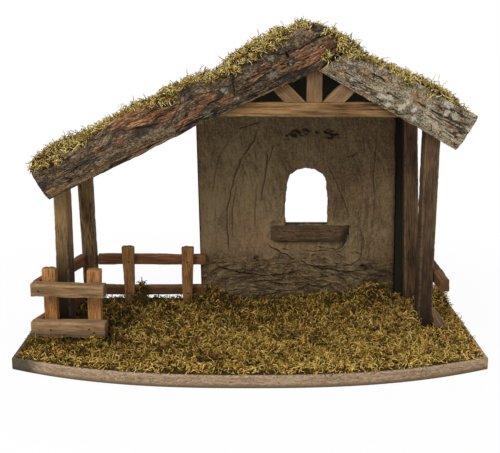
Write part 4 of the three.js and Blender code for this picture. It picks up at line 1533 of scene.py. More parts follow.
LEFT_SLAB = BarkSlab(
    "left_slab_bark", "left_bark_slab", "dark_bark", Finish.DARK_BARK,
    lower=((-215, 167.4), (-57, 246), (71.4, 305), (102.5, 326.7)),
    upper=((-234, 197.4), (75, 354.6)),
    seed=0.6,
    rust=each(
        Blotch,
        (112, 34, 14, 4.5, 0, 0.9), (128, 28.5, 50, 7.5, -9, 0.75), (122, 26, 34, 4, -6, 0.4),
        (158, 21.8, 10, 3.0, 14), (73, 24.3, 9, 1.7, 0, 0.8), (78, 18.8, 8, 1.5, 0, 0.8),
        (99, 17.1, 9, 1.6, 2, 0.85), (164, 9.3, 10, 4.2, 30, 0.95), (104, 4.6, 34, 2.0, 0, 0.8),
        (19, 4.4, 16, 3.2, 0, 0.7), (92, 40, 8, 3.0, 0, 0.8), (140, 33, 10, 3, -20, 0.7),
        (203, 19.9, 10, 4.2, -5), (189, 21.7, 10, 2.4, 4, 0.7), (181, 12.4, 11, 4.2, 8, 0.9),
        (218, 12.4, 13, 3.2, 8), (258, 19.1, 17, 2.4, 12), (283, 16.6, 8, 4.5, -18, 0.9),
        (318, 12.4, 27, 5.6, 6), (310, 19.0, 13, 3.0, 4, 0.85), (200, 36, 9, 2.4, 0, 0.7),
        (60, 9, 16, 1.2, 0, 0.5), (335, 6, 10, 2.5, 20, 0.6),
    ),
    lichen=each(
        Blotch,
        (190, 7.4, 11, 3.8, 18, 0.75), (221, 19.9, 4.5, 4.0, 0, 0.9), (268, 13.3, 6, 4.5, 0, 0.8),
        (280, 26.6, 5, 3.4, 0, 0.75), (292, 15.8, 1.6, 4.0, -30, 1.0), (337, 24.4, 3.5, 1.8, 0, 0.9),
        (330, 28, 5, 3.5, 0, 0.5), (302, 29, 4, 3, 0, 0.5), (4, 24, 4, 8, 0, 0.45),
        (145, 14, 12, 3, 20, 0.4), (100, 10, 14, 3, 0, 0.35), (248, 9, 12, 3, 14, 0.4),
        (62, 12, 14, 2.5, 0, 0.3),
    ),
    bare=each(
        Blotch,
        (30, 20, 5, 0.9, 12, 0.9), (30, 16.6, 5, 0.8, -8, 0.9), (9, 6.5, 8, 5.5, 20, 0.9),
        (50, 3.6, 32, 2.4, 0, 0.85), (48, 33.5, 20, 3.4, 4, 0.85), (8, 31.5, 9, 4.5, 0, 0.9),
        (120, 1.6, 40, 1.4, 0, 0.8), (230, 1.2, 60, 1.0, 0, 0.6),
    ),
    knots=each(Blotch, (295, 22.6, 2.4, 5.0, -14, 0.8)),
    tones=each(Blotch, (40, 17, 38, 20, 0, -0.3), (250, 24, 28, 13, 0, 0.4), (134, 9, 28, 9, 0, 0.35)),
    bulges=each(
        Blotch,
        (9, 7, 8, 6, 0, 0.7), (316, 27, 26, 9, 3, 0.8), (262, 26, 22, 7, 4, 0.4),
        (160, 15, 30, 4, 27, 0.45),
    ),
    creases=each(
        Crease,
        (((242, 34), (232, 21.8), (222, 7)), 0.9, 1.3),
        (((88, 29), (110, 24), (135, 19.5), (152, 17)), 0.7),
        (((136, 8), (155, 14), (172, 24), (184, 34)), 0.9, 1.1), (((150, 3), (165, 9), (178, 17)), 0.8),
        (((175, 9), (200, 13.5), (232, 15.5)), 0.7, 0.9),
        (((16, 9), (60, 7.5), (120, 6), (140, 5)), 0.6, 0.7), (((238, 16), (262, 19.5), (284, 23)), 0.7),
        (((240, 11), (262, 15), (284, 18)), 0.7), (((292, 26), (310, 22), (342, 23)), 0.8, 1.2),
        (((288, 6.5), (315, 6.5), (345, 9)), 0.8, 1.1), (((60, 20.5), (80, 22), (108, 20)), 0.5, 0.7),
        (((90, 15), (118, 13.6)), 0.5, 0.6), (((192, 25), (206, 23.4), (216, 24)), 0.6, 0.8),
        (((20, 26), (45, 29), (66, 30)), 0.5, 0.5), (((150, 27), (166, 25.5), (176, 29)), 0.7, 1.0),
    ),
    rims=(
        (110, 26, 10.5), (146, 12, 4.4), (68, 9, 2.6), (190, 16, 7.0), (6, 14, 3.0), (320, 20, 5.4),
        (347, 6, -4.5),
    ),
    crust=0.55,
    scales=0.22,
)

RIGHT_SLAB = BarkSlab(
    "right_slab_bark", "right_bark_slab", "pale_bark", Finish.PALE_BARK,
    lower=((71.9, 304.3), (218, 221.1)),
    upper=((103.1, 325.9), (239.8, 256)),
    seed=2.7,
    rust=each(
        Blotch,
        (50, 20.5, 8, 4.0, 0, 0.9), (88, 22.4, 9, 5.0, 0, 0.8), (130, 15.6, 24, 3.6, 0, 0.75),
        (146, 24.6, 7, 4.0, -6, 0.7), (10, 5.6, 10, 4.5, 0, 0.7), (60, 31.5, 10, 2.6, 0, 0.6),
        (132, 2.2, 6, 2.0, 0, 0.6), (1.5, 18, 2.2, 14, 0, 0.8), (33, 23, 5, 3, 0, 0.6),
    ),
    lichen=each(
        Blotch,
        (60, 9.3, 4.5, 4.0), (66.5, 11.8, 4.2, 3.8), (71, 5.5, 4.5, 3.0), (83.5, 9.9, 3.8, 8.0),
        (94, 13.0, 3.0, 4.2), (100, 5.5, 3.4, 2.8), (40, 33, 6, 3.0), (123, 24.3, 3.2, 4.2),
        (133, 25.0, 4.4, 4.0), (119, 31.8, 9, 3.8, 0, 0.8), (11, 23, 7, 4.0, 0, 0.7),
        (28, 9.9, 5, 3.2, 0, 0.7), (88, 33, 6, 4.5, 0, 0.6), (147, 34, 6, 2.4), (5, 10, 5, 3, 0, 0.6),
        (112, 10, 5, 3, 0, 0.6), (128, 20, 24, 13, 0, 0.32), (52, 13, 4, 3, 0, 0.5), (20, 17, 5, 3, 0, 0.5),
        (140, 8, 4, 3, 0, 0.4),
    ),
    creases=each(
        Crease,
        (((26, 35), (32, 29), (42, 21)), 0.7, 1.2), (((34, 23.0), (45, 25), (55, 22)), 0.9, 2.0),
        (((15, 12.6), (24, 12.2), (30, 12.8)), 0.8, 1.4), (((61, 15), (70, 14.6), (80, 15)), 0.7, 1.4),
        (((49, 5.8), (58, 5.2), (67, 5.6)), 0.8, 1.3), (((91, 20.5), (98, 19.5), (103, 20.4)), 0.9, 1.6),
        (((103, 20.5), (118, 19.8), (135, 21), (152, 20)), 0.9, 1.8),
        (((104, 18), (120, 17), (138, 18.2), (151, 17.5)), 0.7, 1.3),
        (((105, 14.5), (122, 13.5), (142, 15.0)), 0.7, 1.2), (((2, 18.6), (9, 18.2), (15, 17.6)), 0.7, 1.1),
        (((84, 30), (88, 25), (93, 21)), 0.7, 1.1), (((58, 32), (66, 26), (76, 20)), 0.7, 1.0),
        (((126, 8.5), (134, 5), (147, 4)), 0.7, 0.9), (((5, 30), (16, 25), (24, 24)), 0.6, 0.9),
        (((106, 27), (116, 25.5), (122, 28)), 0.6, 0.9), (((30, 4), (40, 6), (46, 3)), 0.6, 0.8),
    ),
    tones=each(Blotch, (134, 18, 28, 22, 0, 0.45), (40, 18, 32, 22, 0, 0.2)),
    rims=(
        (148, 7, 1.5), (84, 14, 2.2), (112, 20, 1.2),
    ),
    furrows=1.5,
    crust=0.9,
    scales=0.75,
    scale_size=12.0,
)


# Back wall


@dataclass
class Wall:
    """The plastered wall with its arched window, and the split log under it.

    A pit is its middle in x and z, its half width and half height, and its slope.
    """

    board_front: float = 118.0
    thick: float = 5.0
    lean: float = 0.021
    left: float = -58.4
    right: float = 176.6
    foot: float = 16.0
    top: float = 250.0
    window: Pair = (41.8, 94.4)
    sill: float = 110.4
    spring: float = 159.0
    arch: float = 179.6
    log_start: float = 25.0
    log_length: float = 92.5
    log_middle: float = 100.5
    pits: tuple[tuple[float, ...], ...] = (
        (59, 221, 16, 6.0, 0.28), (96, 220.5, 16, 5.4, -0.16), (140, 56, 5, 5, 0.0),
        (8.5, 68, 3.5, 4, 0.0),
    )
    marks: tuple[Crease, ...] = each(
        Crease,
        (((-48, 63), (-27, 55), (-11, 50), (17, 47), (34, 47.5), (60, 50)), 0.8, 1.8),
        (((22, 88), (26, 82), (33, 80.5), (39, 75), (47, 73.5), (52, 68), (58, 66)), 0.8, 1.7),
        (((17, 58), (29, 50), (38, 47)), 0.72, 1.3), (((40, 57), (50, 51), (60, 46)), 0.8, 1.0),
        (((65, 80), (78, 77), (98, 79)), 0.72, 1.3),
        (((55, 70), (63, 67), (70, 60.5), (80, 59.5), (88, 55), (105, 53.6), (118, 51), (133, 53),
          (150, 52)), 0.8, 1.5),
        (((70, 62), (84, 53)), 0.8, 1.0), (((58, 52), (70, 42), (80, 39)), 0.72, 1.2),
        (((68, 37), (88, 31), (106, 39)), 0.72, 1.1), (((0, 33), (17, 29.7), (42, 28), (62, 27)), 0.8, 1.4),
        (((12, 21), (42, 26)), 0.8, 1.2), (((119, 112), (121, 97), (114, 84), (102, 76)), 0.8, 1.5, 1.0),
        (((135, 108), (138, 90), (137, 68)), 0.7, 1.1), (((139, 98), (139, 78)), 0.72, 1.3),
        (((139, 216), (138, 192)), 0.65, 0.9), (((118, 140), (121, 122)), 0.65, 0.8),
        (((150, 184), (152, 130)), 0.7, 1.0), (((153, 214), (152, 184)), 0.7, 0.95),
        (((16, 236), (9, 213), (-8, 190), (-15.5, 170), (-20.5, 151), (-25, 131), (-25.5, 94),
          (-22, 64)), 0.85, 1.3, 1.2),
        (((31, 209), (26, 192), (21, 178)), 0.72, 1.2),
        (((23, 202), (22, 180), (18, 160), (13, 132)), 0.75, 1.4), (((9, 203), (11, 186)), 0.65, 0.9),
        (((3, 172), (5, 156)), 0.65, 0.9), (((10, 163), (8, 131), (9, 96)), 0.7, 1.1, 1.0),
        (((-15, 223), (-31, 197), (-39, 173), (-43, 140)), 0.7, 1.1),
        (((-10, 226), (5, 231), (16, 235)), 0.72, 1.5),
        (((92, 187), (103, 165), (113, 143), (121, 118)), 0.75, 1.1, 1.0),
        (((116, 193), (125, 195), (132, 200)), 0.72, 1.3),
        (((-12, 165), (-19, 131), (-20, 88)), 0.7, 1.1, 1.0), (((-1, 196), (-7, 172)), 0.65, 0.8),
        (((112, 64), (124, 60), (134, 66), (136, 76)), 0.72, 1.2),
        (((84, 44), (104, 47), (120, 42)), 0.8, 1.0), (((26, 38), (44, 36), (58, 33)), 0.8, 1.1),
    )

    @staticmethod
    def wrinkles() -> tuple[Crease, ...]:
        """Short creases that run down to the right under the log, where the coat was smeared."""
        rng = np.random.default_rng(64)
        found = []
        for x, z in zip(rng.uniform(22, 128, 22), rng.uniform(36, 84, 22)):
            run, fall = rng.uniform(5, 13), rng.uniform(-0.55, 0.2)
            middle = (x + 0.5 * run, z + 0.5 * run * fall + rng.uniform(-1.6, 1.6))
            path = ((x, z), middle, (x + run, z + run * fall))
            found.append(Crease(path, 0.75, rng.uniform(0.8, 1.4)))
        return tuple(found)

    def outlines(self) -> tuple[Array, Array]:
        """The window's and the coat's outlines, in four matching runs of points.

        The runs are the sill, the right side, the top and the left side. The window's top
        is half a superellipse, a little fuller at its shoulders than an ellipse.

        Returns:
            Inner and outer points, in x and z.
        """
        left, right = self.window
        middle, half = (left + right) / 2, (right - left) / 2
        t = np.linspace(0, 1, 181)[:-1]
        arc = math.pi * t
        inner = [
            stack(left + (right - left) * t, self.sill),
            stack(right, self.sill + (self.spring - self.sill) * t),
            stack(
                middle + half * np.sign(np.cos(arc)) * np.abs(np.cos(arc)) ** 0.84,
                self.spring + (self.arch - self.spring) * np.sin(arc) ** 0.84,
            ),
            stack(left, self.spring + (self.sill - self.spring) * t),
        ]
        outer = [
            stack(self.left + (self.right - self.left) * t, self.foot),
            stack(self.right, self.foot + (self.top - self.foot) * t),
            stack(self.right + (self.left - self.right) * t, self.top),
            stack(self.left, self.top + (self.foot - self.top) * t),
        ]
        return np.concatenate(inner), np.concatenate(outer)

    def trowel(self, x: Array, z: Array) -> tuple[Array, Array]:
        """Height of the trowelled coat: combed arcs above, level crinkles low down, marks and pits.

        Args:
            x: Place of each point in x.
            z: Place of each point in z.

        Returns:
            Millimetres of height, and how dark each point is painted: dirt in the seams, dark crumbs by the
            log, and painted shade in folds, hollows, grooves and pits.
        """
        low = smooth(66 + 16 * hump(x, 62, 42) + 8 * NOISE.at(x / 25, z / 25, 1.0) - z, -6, 12)
        bend = x + 0.0022 * (z - 120) ** 2 + 6 * NOISE.at(x / 45, z / 70, 3.0)
        combed = NOISE.layers(bend / 2.6, z / 60, 4.0, 2)
        seams = np.exp(-((NOISE.layers(bend / 9, z / 80, 4.7, 3) / 0.05) ** 2))
        seams = seams * smooth(NOISE.at(x / 22, z / 30), -0.1, 0.4)
        level = z + 6 * NOISE.at(x / 30, z / 26, 8.0) + 0.0012 * (x - 60) ** 2
        crinkles = NOISE.layers(level / 3.2, x / 11, 5.0, 3)
        folds = np.exp(-((NOISE.layers(level / 6.5, x / 16, 5.5, 3) / 0.07) ** 2))
        height = (0.3 * combed - 0.6 * seams) * (1 - low) + (1.9 * crinkles - 1.4 * folds) * low
        height = height + 0.8 * NOISE.layers(x / 40, z / 48, 1.0, 2)
        height = height + 0.45 * NOISE.layers(x / 5, z / 6, 2.0, 3)
        drawn, bottom = Crease.total(self.marks + self.wrinkles(), x, z)
        ragged = NOISE.layers(x / 3.4 + z / 8, z / 2.0, 6.0, 4)
        holes = [
            ((x - cx) / half, (z - cz - tilt * (x - cx)) / high)
            for cx, cz, half, high, tilt in self.pits
        ]
        near = np.max([1.1 - a**2 - b**2 for a, b in holes], axis=0)
        pits = smooth(near + 2.2 * ragged, 0.3, 1.3) * smooth(near, -0.7, 0.5)
        seam = hump(x, 30, 9) * hump(z, 112, 5) + 0.8 * hump(x, 27, 5) * hump(z, 103, 8)
        crumbs = smooth(1.5 * NOISE.layers(x / 2.6, z / 2.6, 7.0, 2) + seam, 0.45, 0.9) * np.clip(seam, 0, 1)
        aside = np.maximum(np.abs(x - 71) - 45, 0)
        above = np.maximum(np.abs(z - self.log_middle) - 8.5, 0)
        smear = 3.0 * np.exp(-np.sqrt(aside**2 + above**2) / 3.2) * (0.7 + 0.6 * ragged)
        height = height + drawn - 2.6 * pits - 1.0 * crumbs + smear
        # Painted shade in the folds and in the crinkles' hollows, and dirt in the combed seams.
        darkening = 0.32 * folds * low + 0.12 * seams * (1 - low) + smooth(-crinkles, 0.3, 0.9) * low * 0.2
        # Painted shade at groove bottoms and in the pits, and dark crumbs by the log.
        return height, np.clip(darkening + 0.9 * bottom + 0.9 * pits + 0.5 * crumbs, 0, 1)

    def coat(self) -> Patch:
        """The plaster as an endless ring of sections around the window.

        Each section goes from the back of the window's edge to the front, outwards over the
        trowelled face, round the outer rim and back. A point of the face is a blend of the
        window's outline and the coat's outline.

        Returns:
            The closed surface.
        """
        inner, outer = self.outlines()
        steps = 116
        share = np.concatenate([[0, 0], np.linspace(0, 1, steps), [1, 1]])[None, :, None]
        out = np.concatenate([[0.0, 0.55], np.ones(steps), [0.55, 0.0]])[None, :]
        flat = inner[:, None] + (outer - inner)[:, None] * share
        x, z = flat[..., 0], flat[..., 1]
        span = np.linalg.norm(outer - inner, axis=1)[:, None]
        from_hole, from_rim = share[..., 0] * span, (1 - share[..., 0]) * span
        wobble = NOISE.layers(x / 5, z / 5, 2.5, 3)
        away = (flat - np.array([68.0, 145.0])) / 40
        narrow = -(1.2 + 2.2 * smooth(z, 138, 170)) * np.clip((x - 67) / 20, -1, 1)
        narrow = narrow - 2.0 * hump(z, 128, 8) * (x < 67)
        x = x + narrow * np.exp(-from_hole / 8)
        x = x + 2.1 * wobble * away[..., 0] * np.exp(-from_hole / 3) + 1.1 * wobble * np.exp(-from_rim / 3)
        z = z + (1.9 * wobble * away[..., 1] - 0.8 * smooth(z, 170, 176)) * np.exp(-from_hole / 3)
        z = z + (1.5 * np.sin(9 * x / 235) + 1.4 * wobble) * np.exp(-from_rim / 4) * (z > 200)
        height, darkening = self.trowel(x, z)
        rounding = (1 - 0.3 * np.exp(-from_hole / 1.6)) * (1 - 0.45 * np.exp(-from_rim / 3.5))
        proud = out * (self.thick * rounding + np.minimum(from_hole / 4, 1) * height)
        leaning = x - self.lean * (z - BOARD_TOP) * (1 - np.exp(-from_hole / 30))
        rings = stack(leaning, self.board_front - np.maximum(proud, 0.8 * out), z)
        # Painted shade along the coat's outer rim and round the window's edge, more on the window's left.
        rim_shade = 0.8 * np.exp(-from_rim / 1.5) + (0.55 + 0.3 * (x < 60)) * np.exp(-from_hole / 1.6)
        traits = {
            "crest": np.clip(height, -1, 1),
            # The darkening the plaster paints: dirt in its seams and painted shade in folds, hollows,
            # grooves, pits and rims.
            "scratch": np.clip(darkening + rim_shade * (0.6 + 0.4 * wobble), 0, 1),
        }
        return Patch.tube(rings, traits, endless=True)

    def log(self) -> Patch:
        """The split log: half rounds carried along it, chopped off at a slant on the right.

        The radius is 1 plus lengthwise bark ridges and slow swells; the section is flat at the
        back, and the last sections draw in to a rough cut face.

        Returns:
            The closed surface.
        """
        rows = 150
        s = np.linspace(0, 1, rows)[:, None]
        angle = np.linspace(-math.pi / 2, math.pi / 2, 50)
        length = s * self.log_length
        ridges = NOISE.layers(length / 22, angle * 6.5 + 0.5 * NOISE.at(length / 14, 3.3), 3.0, 3)
        radius = 1 + 0.045 * ridges + 0.03 * np.sin(1.9 * s * 14) - 0.04 * s
        radius = radius * (1 - 0.1 * smooth(s, 0.975, 1.0))
        flat_top = 1 - 0.14 * smooth(angle, 0.75, 1.5)
        sunk = 1 - smooth(s, 0.0, 0.13)
        y = -8.6 * radius * np.cos(angle) ** 0.62 * (1 - 0.6 * sunk)
        z = 11.2 * radius * np.sin(angle) * flat_top * (1 - 0.2 * sunk)
        back = np.linspace(1, -1, 7)[None, 1:-1]
        y = np.concatenate([y, 1.0 + 0 * s * back], axis=1)
        z = np.concatenate([z, z[:, -1:] * (1 + back) / 2 + z[:, :1] * (1 - back) / 2], axis=1)
        slant = (0.9 * y + 0.25 * z) * smooth(s, 0.8, 1.0)
        x = self.log_start + length + slant + 1.5 * smooth(s, 0.8, 1.0)
        rings = stack(x, self.board_front - self.thick + y, self.log_middle + z)
        turn = np.concatenate([angle, np.full(5, 0.0)])[None, :]
        blank = np.zeros_like(x)
        cut = smooth(s, 0.972, 0.985) + blank
        padded = np.concatenate([ridges, np.zeros((rows, 5))], axis=1)
        torn = 0.4 * smooth(NOISE.layers(x / 16, turn * 2, 1.2, 2), 0.2, 0.5)
        traits = {
            "grain": stack(11.0 * turn, y, length + 0 * y),
            # Raised ridges, for the painted highlight.
            "crest": np.clip(padded * 1.2, -1, 1),
            "rust": np.clip(torn + 0.6 * hump(s, 0.95, 0.03) + blank, 0, 1),
            "lichen": 1.4 * (1 - smooth(s, 0.02, 0.17)) + blank,
            "bare": 0.55 * cut,
            # Painted shade in the hollows between ridges, and a painted shadow line at the cut's edge.
            "furrow": np.clip(0.2 * smooth(-padded, 0.35, 0.8) + 0.6 * hump(s, 0.975, 0.008), 0, 1),
        }
        return Patch.tube(rings, traits)

    def build(self) -> None:
        """Makes the coat and the log."""
        self.coat().piece("plaster_coat", Finish.PLASTER.material(), "plaster", ["wall_plaster"])
        self.log().piece("sill_log_bark", Finish.LOG_BARK.material(), "log", ["window_sill_log"])


# Moss


@dataclass(frozen=True)
class Habit:
    """How a kind of moss stem grows."""

    length: Pair
    radius: Pair
    lift: Pair
    curl: float
    droop: float
    tone: float = 0.0
    rings: int = 5


class Growth(Enum):
    """The kinds of stem."""

    MAT = Habit((5.0, 9.0), (0.4, 0.62), (-0.1, 0.3), 0.66, 0.03, -0.12, 4)
    CURL = Habit((7.5, 13.5), (0.4, 0.62), (0.0, 0.45), 0.76, 0.04, 0.16, 5)
    TUFT = Habit((5.5, 10.0), (0.38, 0.58), (0.4, 1.0), 0.55, 0.03, 0.05)
    CREEPER = Habit((14.0, 22.0), (0.4, 0.55), (0.05, 0.5), 0.5, 0.04, 0.05, 7)
    FRINGE = Habit((6.0, 11.5), (0.42, 0.64), (0.0, 0.5), 0.68, 0.05, 0.1)

    def grow(
        self, roots: Array, normals: Array, tint: Array, rng: np.random.Generator, lean: Vector = (0, 0, 0)
    ) -> Patch:
        """Stems as three-sided tubes of a few rings and a tip.

        Each stem starts along a blend of its surface normal and a random tangent, turns by a
        steady angle about a random axis at each ring, and sinks a little; its rings are thick
        and thin in turn. Nothing dips below the board's top.

        Args:
            roots: Where the stems start.
            normals: Directions out of the surface there.
            tint: Colour of each stem, 0 to 1.
            rng: Random numbers.
            lean: A direction that all stems lean in.

        Returns:
            All stems as one surface.
        """
        habit, count, rings = self.value, len(roots), self.value.rings
        tangent = unit(np.cross(normals, unit(rng.normal(size=(count, 3)))))
        lift = rng.uniform(*habit.lift, (count, 1))
        heading = unit(normals * lift + tangent + np.array(lean, float))
        axis = unit(rng.normal(size=(count, 3)))
        angle = rng.choice([-1, 1], (count, 1)) * rng.normal(habit.curl, 0.25, (count, 1))
        step = rng.uniform(*habit.length, (count, 1)) / rings
        radius = rng.uniform(*habit.radius, (count, 1))
        side = unit(rng.normal(size=(count, 3)))
        centre = roots - 0.8 * normals
        corners, rise = [], []
        for k in range(rings):
            first = unit(np.cross(heading, side))
            second = np.cross(heading, first)
            thick = radius * ((1.2, 0.8)[k % 2] if k < rings - 1 else 0.75)
            for j in range(3):
                turn = 2 * math.pi * j / 3 + 0.5 * k
                corners.append(centre + thick * (math.cos(turn) * first + math.sin(turn) * second))
                rise.append(np.full(count, k / rings))
            c, s = np.cos(angle), np.sin(angle)
            heading = heading * c + np.cross(axis, heading) * s
            heading = heading + axis * (np.sum(axis * heading, axis=1, keepdims=True) * (1 - c))
            heading = unit(heading - np.array([0, 0, habit.droop]) * (k + 1))
            centre = centre + heading * step * (1.0 if k < rings - 1 else 0.45)
        corners.append(centre)
        rise.append(np.ones(count))
        points_each = 3 * rings + 1
        first = (np.arange(count) * points_each)[:, None, None]
        a = np.arange(rings - 1)[:, None] * 3 + np.arange(3)[None]
        b = np.arange(rings - 1)[:, None] * 3 + (np.arange(3)[None] + 1) % 3
        quads = first[..., None] + stack(a, b, b + 3, a + 3)[None]
        last = 3 * (rings - 1)
        tip = points_each - 1
        ends = [[0, 2, 1], [last, last + 1, tip], [last + 1, last + 2, tip], [last + 2, last, tip]]
        triangles = first + np.array(ends)[None]
        points = np.stack(corners, 1).reshape(-1, 3)
        points[:, 2] = np.maximum(points[:, 2], BOARD_TOP + 0.2)
        shade = np.clip(tint + habit.tone, 0, 1)
        return Patch(
            points,
            quads.reshape(-1, 4),
            triangles.reshape(-1, 3),
            {
                "tint": np.repeat(shade, points_each),
                "rise": np.stack(rise, 1).ravel(),
                "hue": np.repeat(rng.random(count), points_each),
            },
        ).facing_out()

    @staticmethod
    def mixed(
        shares: dict["Growth", Array], roots: Array, normals: Array, tint: Array, rng: np.random.Generator
    ) -> Patch:
        """Stems of several kinds, each chosen at random by its share.

        Args:
            shares: Share of each kind at each root; the first kind takes what is left.
            roots: Where the stems start.
            normals: Directions out of the surface there.
            tint: Colour of each stem.
            rng: Random numbers.

        Returns:
            All stems as one surface.
        """
        draw = rng.random(len(roots))
        kinds = list(shares)
        bounds = np.cumsum([np.broadcast_to(shares[kind], len(roots)) for kind in kinds[1:]], axis=0)
        choice = (len(kinds) - np.sum(draw < bounds, axis=0)) % len(kinds)
        return Patch.joined(
            kind.grow(roots[choice == n], normals[choice == n], tint[choice == n], rng)
            for n, kind in enumerate(kinds)
            if np.any(choice == n)
        )


def lumps(x: Array, y: Array) -> Array:
    """Humps of the moss mats: two crossed waves bent by each other, and a finer one."""
    waves = np.sin(x / 11 + 2 * np.sin(y / 23)) * np.cos(y / 9 + np.sin(x / 17))
    return waves + 0.6 * np.sin(x / 5.3 + y / 7.1)


def slope_normals(height: Callable[[Array, Array], Array], x: Array, y: Array) -> Array:
    """Upward normals of a height over x and y, from differences half a millimetre apart."""
    dx = height(x + 0.5, y) - height(x - 0.5, y)
    dy = height(x, y + 0.5) - height(x, y - 0.5)
    return unit(stack(-dx, -dy, 1.0))


@dataclass(frozen=True)
class Tuft:
    """A cluster of stems: its middle, its spread each way, how many, their colour and kind."""

    place: Vector
    spread: Vector
    count: int
    tint: float
    growth: Growth = Growth.CREEPER


@dataclass
class GroundMoss:
    """The mat on the board: a dark bed and the stems that cover it.

    A thing that stands in it is its middle, its half width and half depth, and its turn. A
    bank is its rise, then its middle and width in x and in y.
    """

    width: float = 497.0
    depth: float = 261.0
    back: float = 128.0
    bow: float = 52.0
    fullness: float = 2.5
    inset: float = 3.2
    full: float = 6.5
    stems: int = 30000
    strips: int = 6
    seed: int = 5
    standing: tuple[tuple[float, float, float, float, float], ...] = (
        (-207.7, 19.0, 8.3, 10.8, -8.8), (-192.0, 107.0, 9.1, 9.8, 0.0), (196.0, 18.9, 9.1, 10.8, 4.0),
        (196.3, 109.0, 9.2, 9.5, 0.0), (-145.6, 97.2, 6.4, 5.2, 0.0), (-75.1, 97.2, 6.4, 5.2, 0.0),
        (-195.8, -27.6, 41.5, 8.2, -5.0), (-218.3, -12.7, 7.8, 5.8, -5.0), (-169.2, -17.0, 7.8, 5.8, -5.0),
    )
    banks: tuple[tuple[float, ...], ...] = (
        (16, 222, 17, 104, 22), (8, -62, 11, 104, 12), (20, 152, 24, 111, 12), (13, -42, 15, 111, 11),
        (7, 88, 44, 112, 9), (25, -131, 7, 94, 5), (6, 184, 7, 4, 8), (-5, 204, 8, 2, 8),
        (-4, -238, 14, -75, 40),
    )
    tufts: tuple[Tuft, ...] = each(
        Tuft,
        ((-131, 94, 14), (6, 3.5, 1), 120, 0.06, Growth.CURL),
        ((-163, 110, 14), (7, 6, 3), 200, 0.1, Growth.TUFT),
        ((-112, 112, 15), (5, 5, 2.5), 120, 0.1, Growth.TUFT),
        ((-90, 110, 15), (5, 5, 3.0), 140, 0.1, Growth.TUFT),
        ((-62, 98, 14), (5, 4, 1), 120, 0.2, Growth.TUFT),
        ((-120, 123, 13), (34, 2, 0.5), 70, 0.15, Growth.TUFT),
        ((-46, 104, 20), (6, 3, 2), 90, 0.35, Growth.TUFT),
        ((-231, -28, 19), (2, 2, 3), 50, 0.3, Growth.TUFT),
        ((-220, -38, 17), (7, 2, 1.5), 60, 0.35, Growth.TUFT), ((190, 5, 20), (3, 3, 2), 9, 0.7),
        ((186, 12, 28), (1.2, 2, 5), 8, 0.8), ((216, 100, 28), (7, 6, 3), 90, 0.45, Growth.CURL),
        ((108, -70, 18), (6, 5, 0.5), 14, 0.8), ((-168, -44, 17), (4, 2, 1), 24, 0.5, Growth.CURL),
        ((170, 60, 20), (6, 6, 0.5), 16, 0.8), ((0, -60, 19), (80, 24, 0.5), 60, 0.8),
        ((150, -40, 19), (30, 20, 0.5), 34, 0.85),
    )

    def front_edge(self, x: Array) -> Array:
        """The board's bowed front edge."""
        return self.bow * np.abs(2 * x / self.width) ** self.fullness - self.depth / 2

    def half(self, y: Array) -> Array:
        """Half the mat's width, which narrows a little to the back."""
        return self.width / 2 - self.inset - 2.5 * (y + 78) / 208

    @staticmethod
    def worn(x: Array, y: Array) -> Array:
        """1 on the strip behind the back fence where hardly any moss is left."""
        return smooth(y, 99, 105) * smooth(x, -184, -178) * smooth(-x, 74, 80)

    def height(self, x: Array, y: Array) -> Array:
        """Height of the mat's top over the table, thinning to the board's edges."""
        to_side = np.minimum(self.back + 0.5 - y, self.half(y) - np.abs(x))
        to_edge = np.minimum(y - self.front_edge(x) - self.inset + 2, to_side)
        banks = sum(
            rise * hump(x, cx, width) * hump(y, cy, depth) for rise, cx, width, cy, depth in self.banks
        )
        rough = 2.0 * NOISE.layers(x / 10, y / 10, 4.4, 2)
        full = (self.full + 1.1 * lumps(x, y) + rough + banks) * (1 - 0.88 * self.worn(x, y))
        return BOARD_TOP + np.maximum(full * np.clip((to_edge + 1.5) / 8, 0.2, 1), 0.4)

    def bed(self) -> Patch:
        """The bed under the stems: sections from front to back carried from left to right.

        Its top is the mat's height less 3.2 mm, with a fine tangle; it stops at the wall.

        Returns:
            The closed surface.
        """
        x = np.linspace(-243.8, 243.8, 200)[:, None]
        t = np.linspace(0, 1, 90)[None, :]
        front = self.front_edge(x) + self.inset + 0.4
        y = front + (self.back - front) * t
        x = x * (1 - 0.000022 * np.maximum(0, y + 78))
        top = self.height(x, y) - 3.2 + 0.9 * NOISE.layers(x / 3, y / 3, 9.0, 2)
        inside = smooth(y, 111.5, 113.0) * smooth(x, -62, -60.5) * smooth(-x, -201, -199.5)
        top = BOARD_TOP + np.maximum(0.15, (top - BOARD_TOP) * (1 - inside))
        base = np.full((len(x), 2), BOARD_TOP + 0.05)
        rings = stack(
            np.hstack([x, x[:, -1:], x[:, :1]]),
            np.hstack([y, y[:, -1:], y[:, :1]]),
            np.hstack([top, base]),
        )
        return Patch.tube(rings, {})

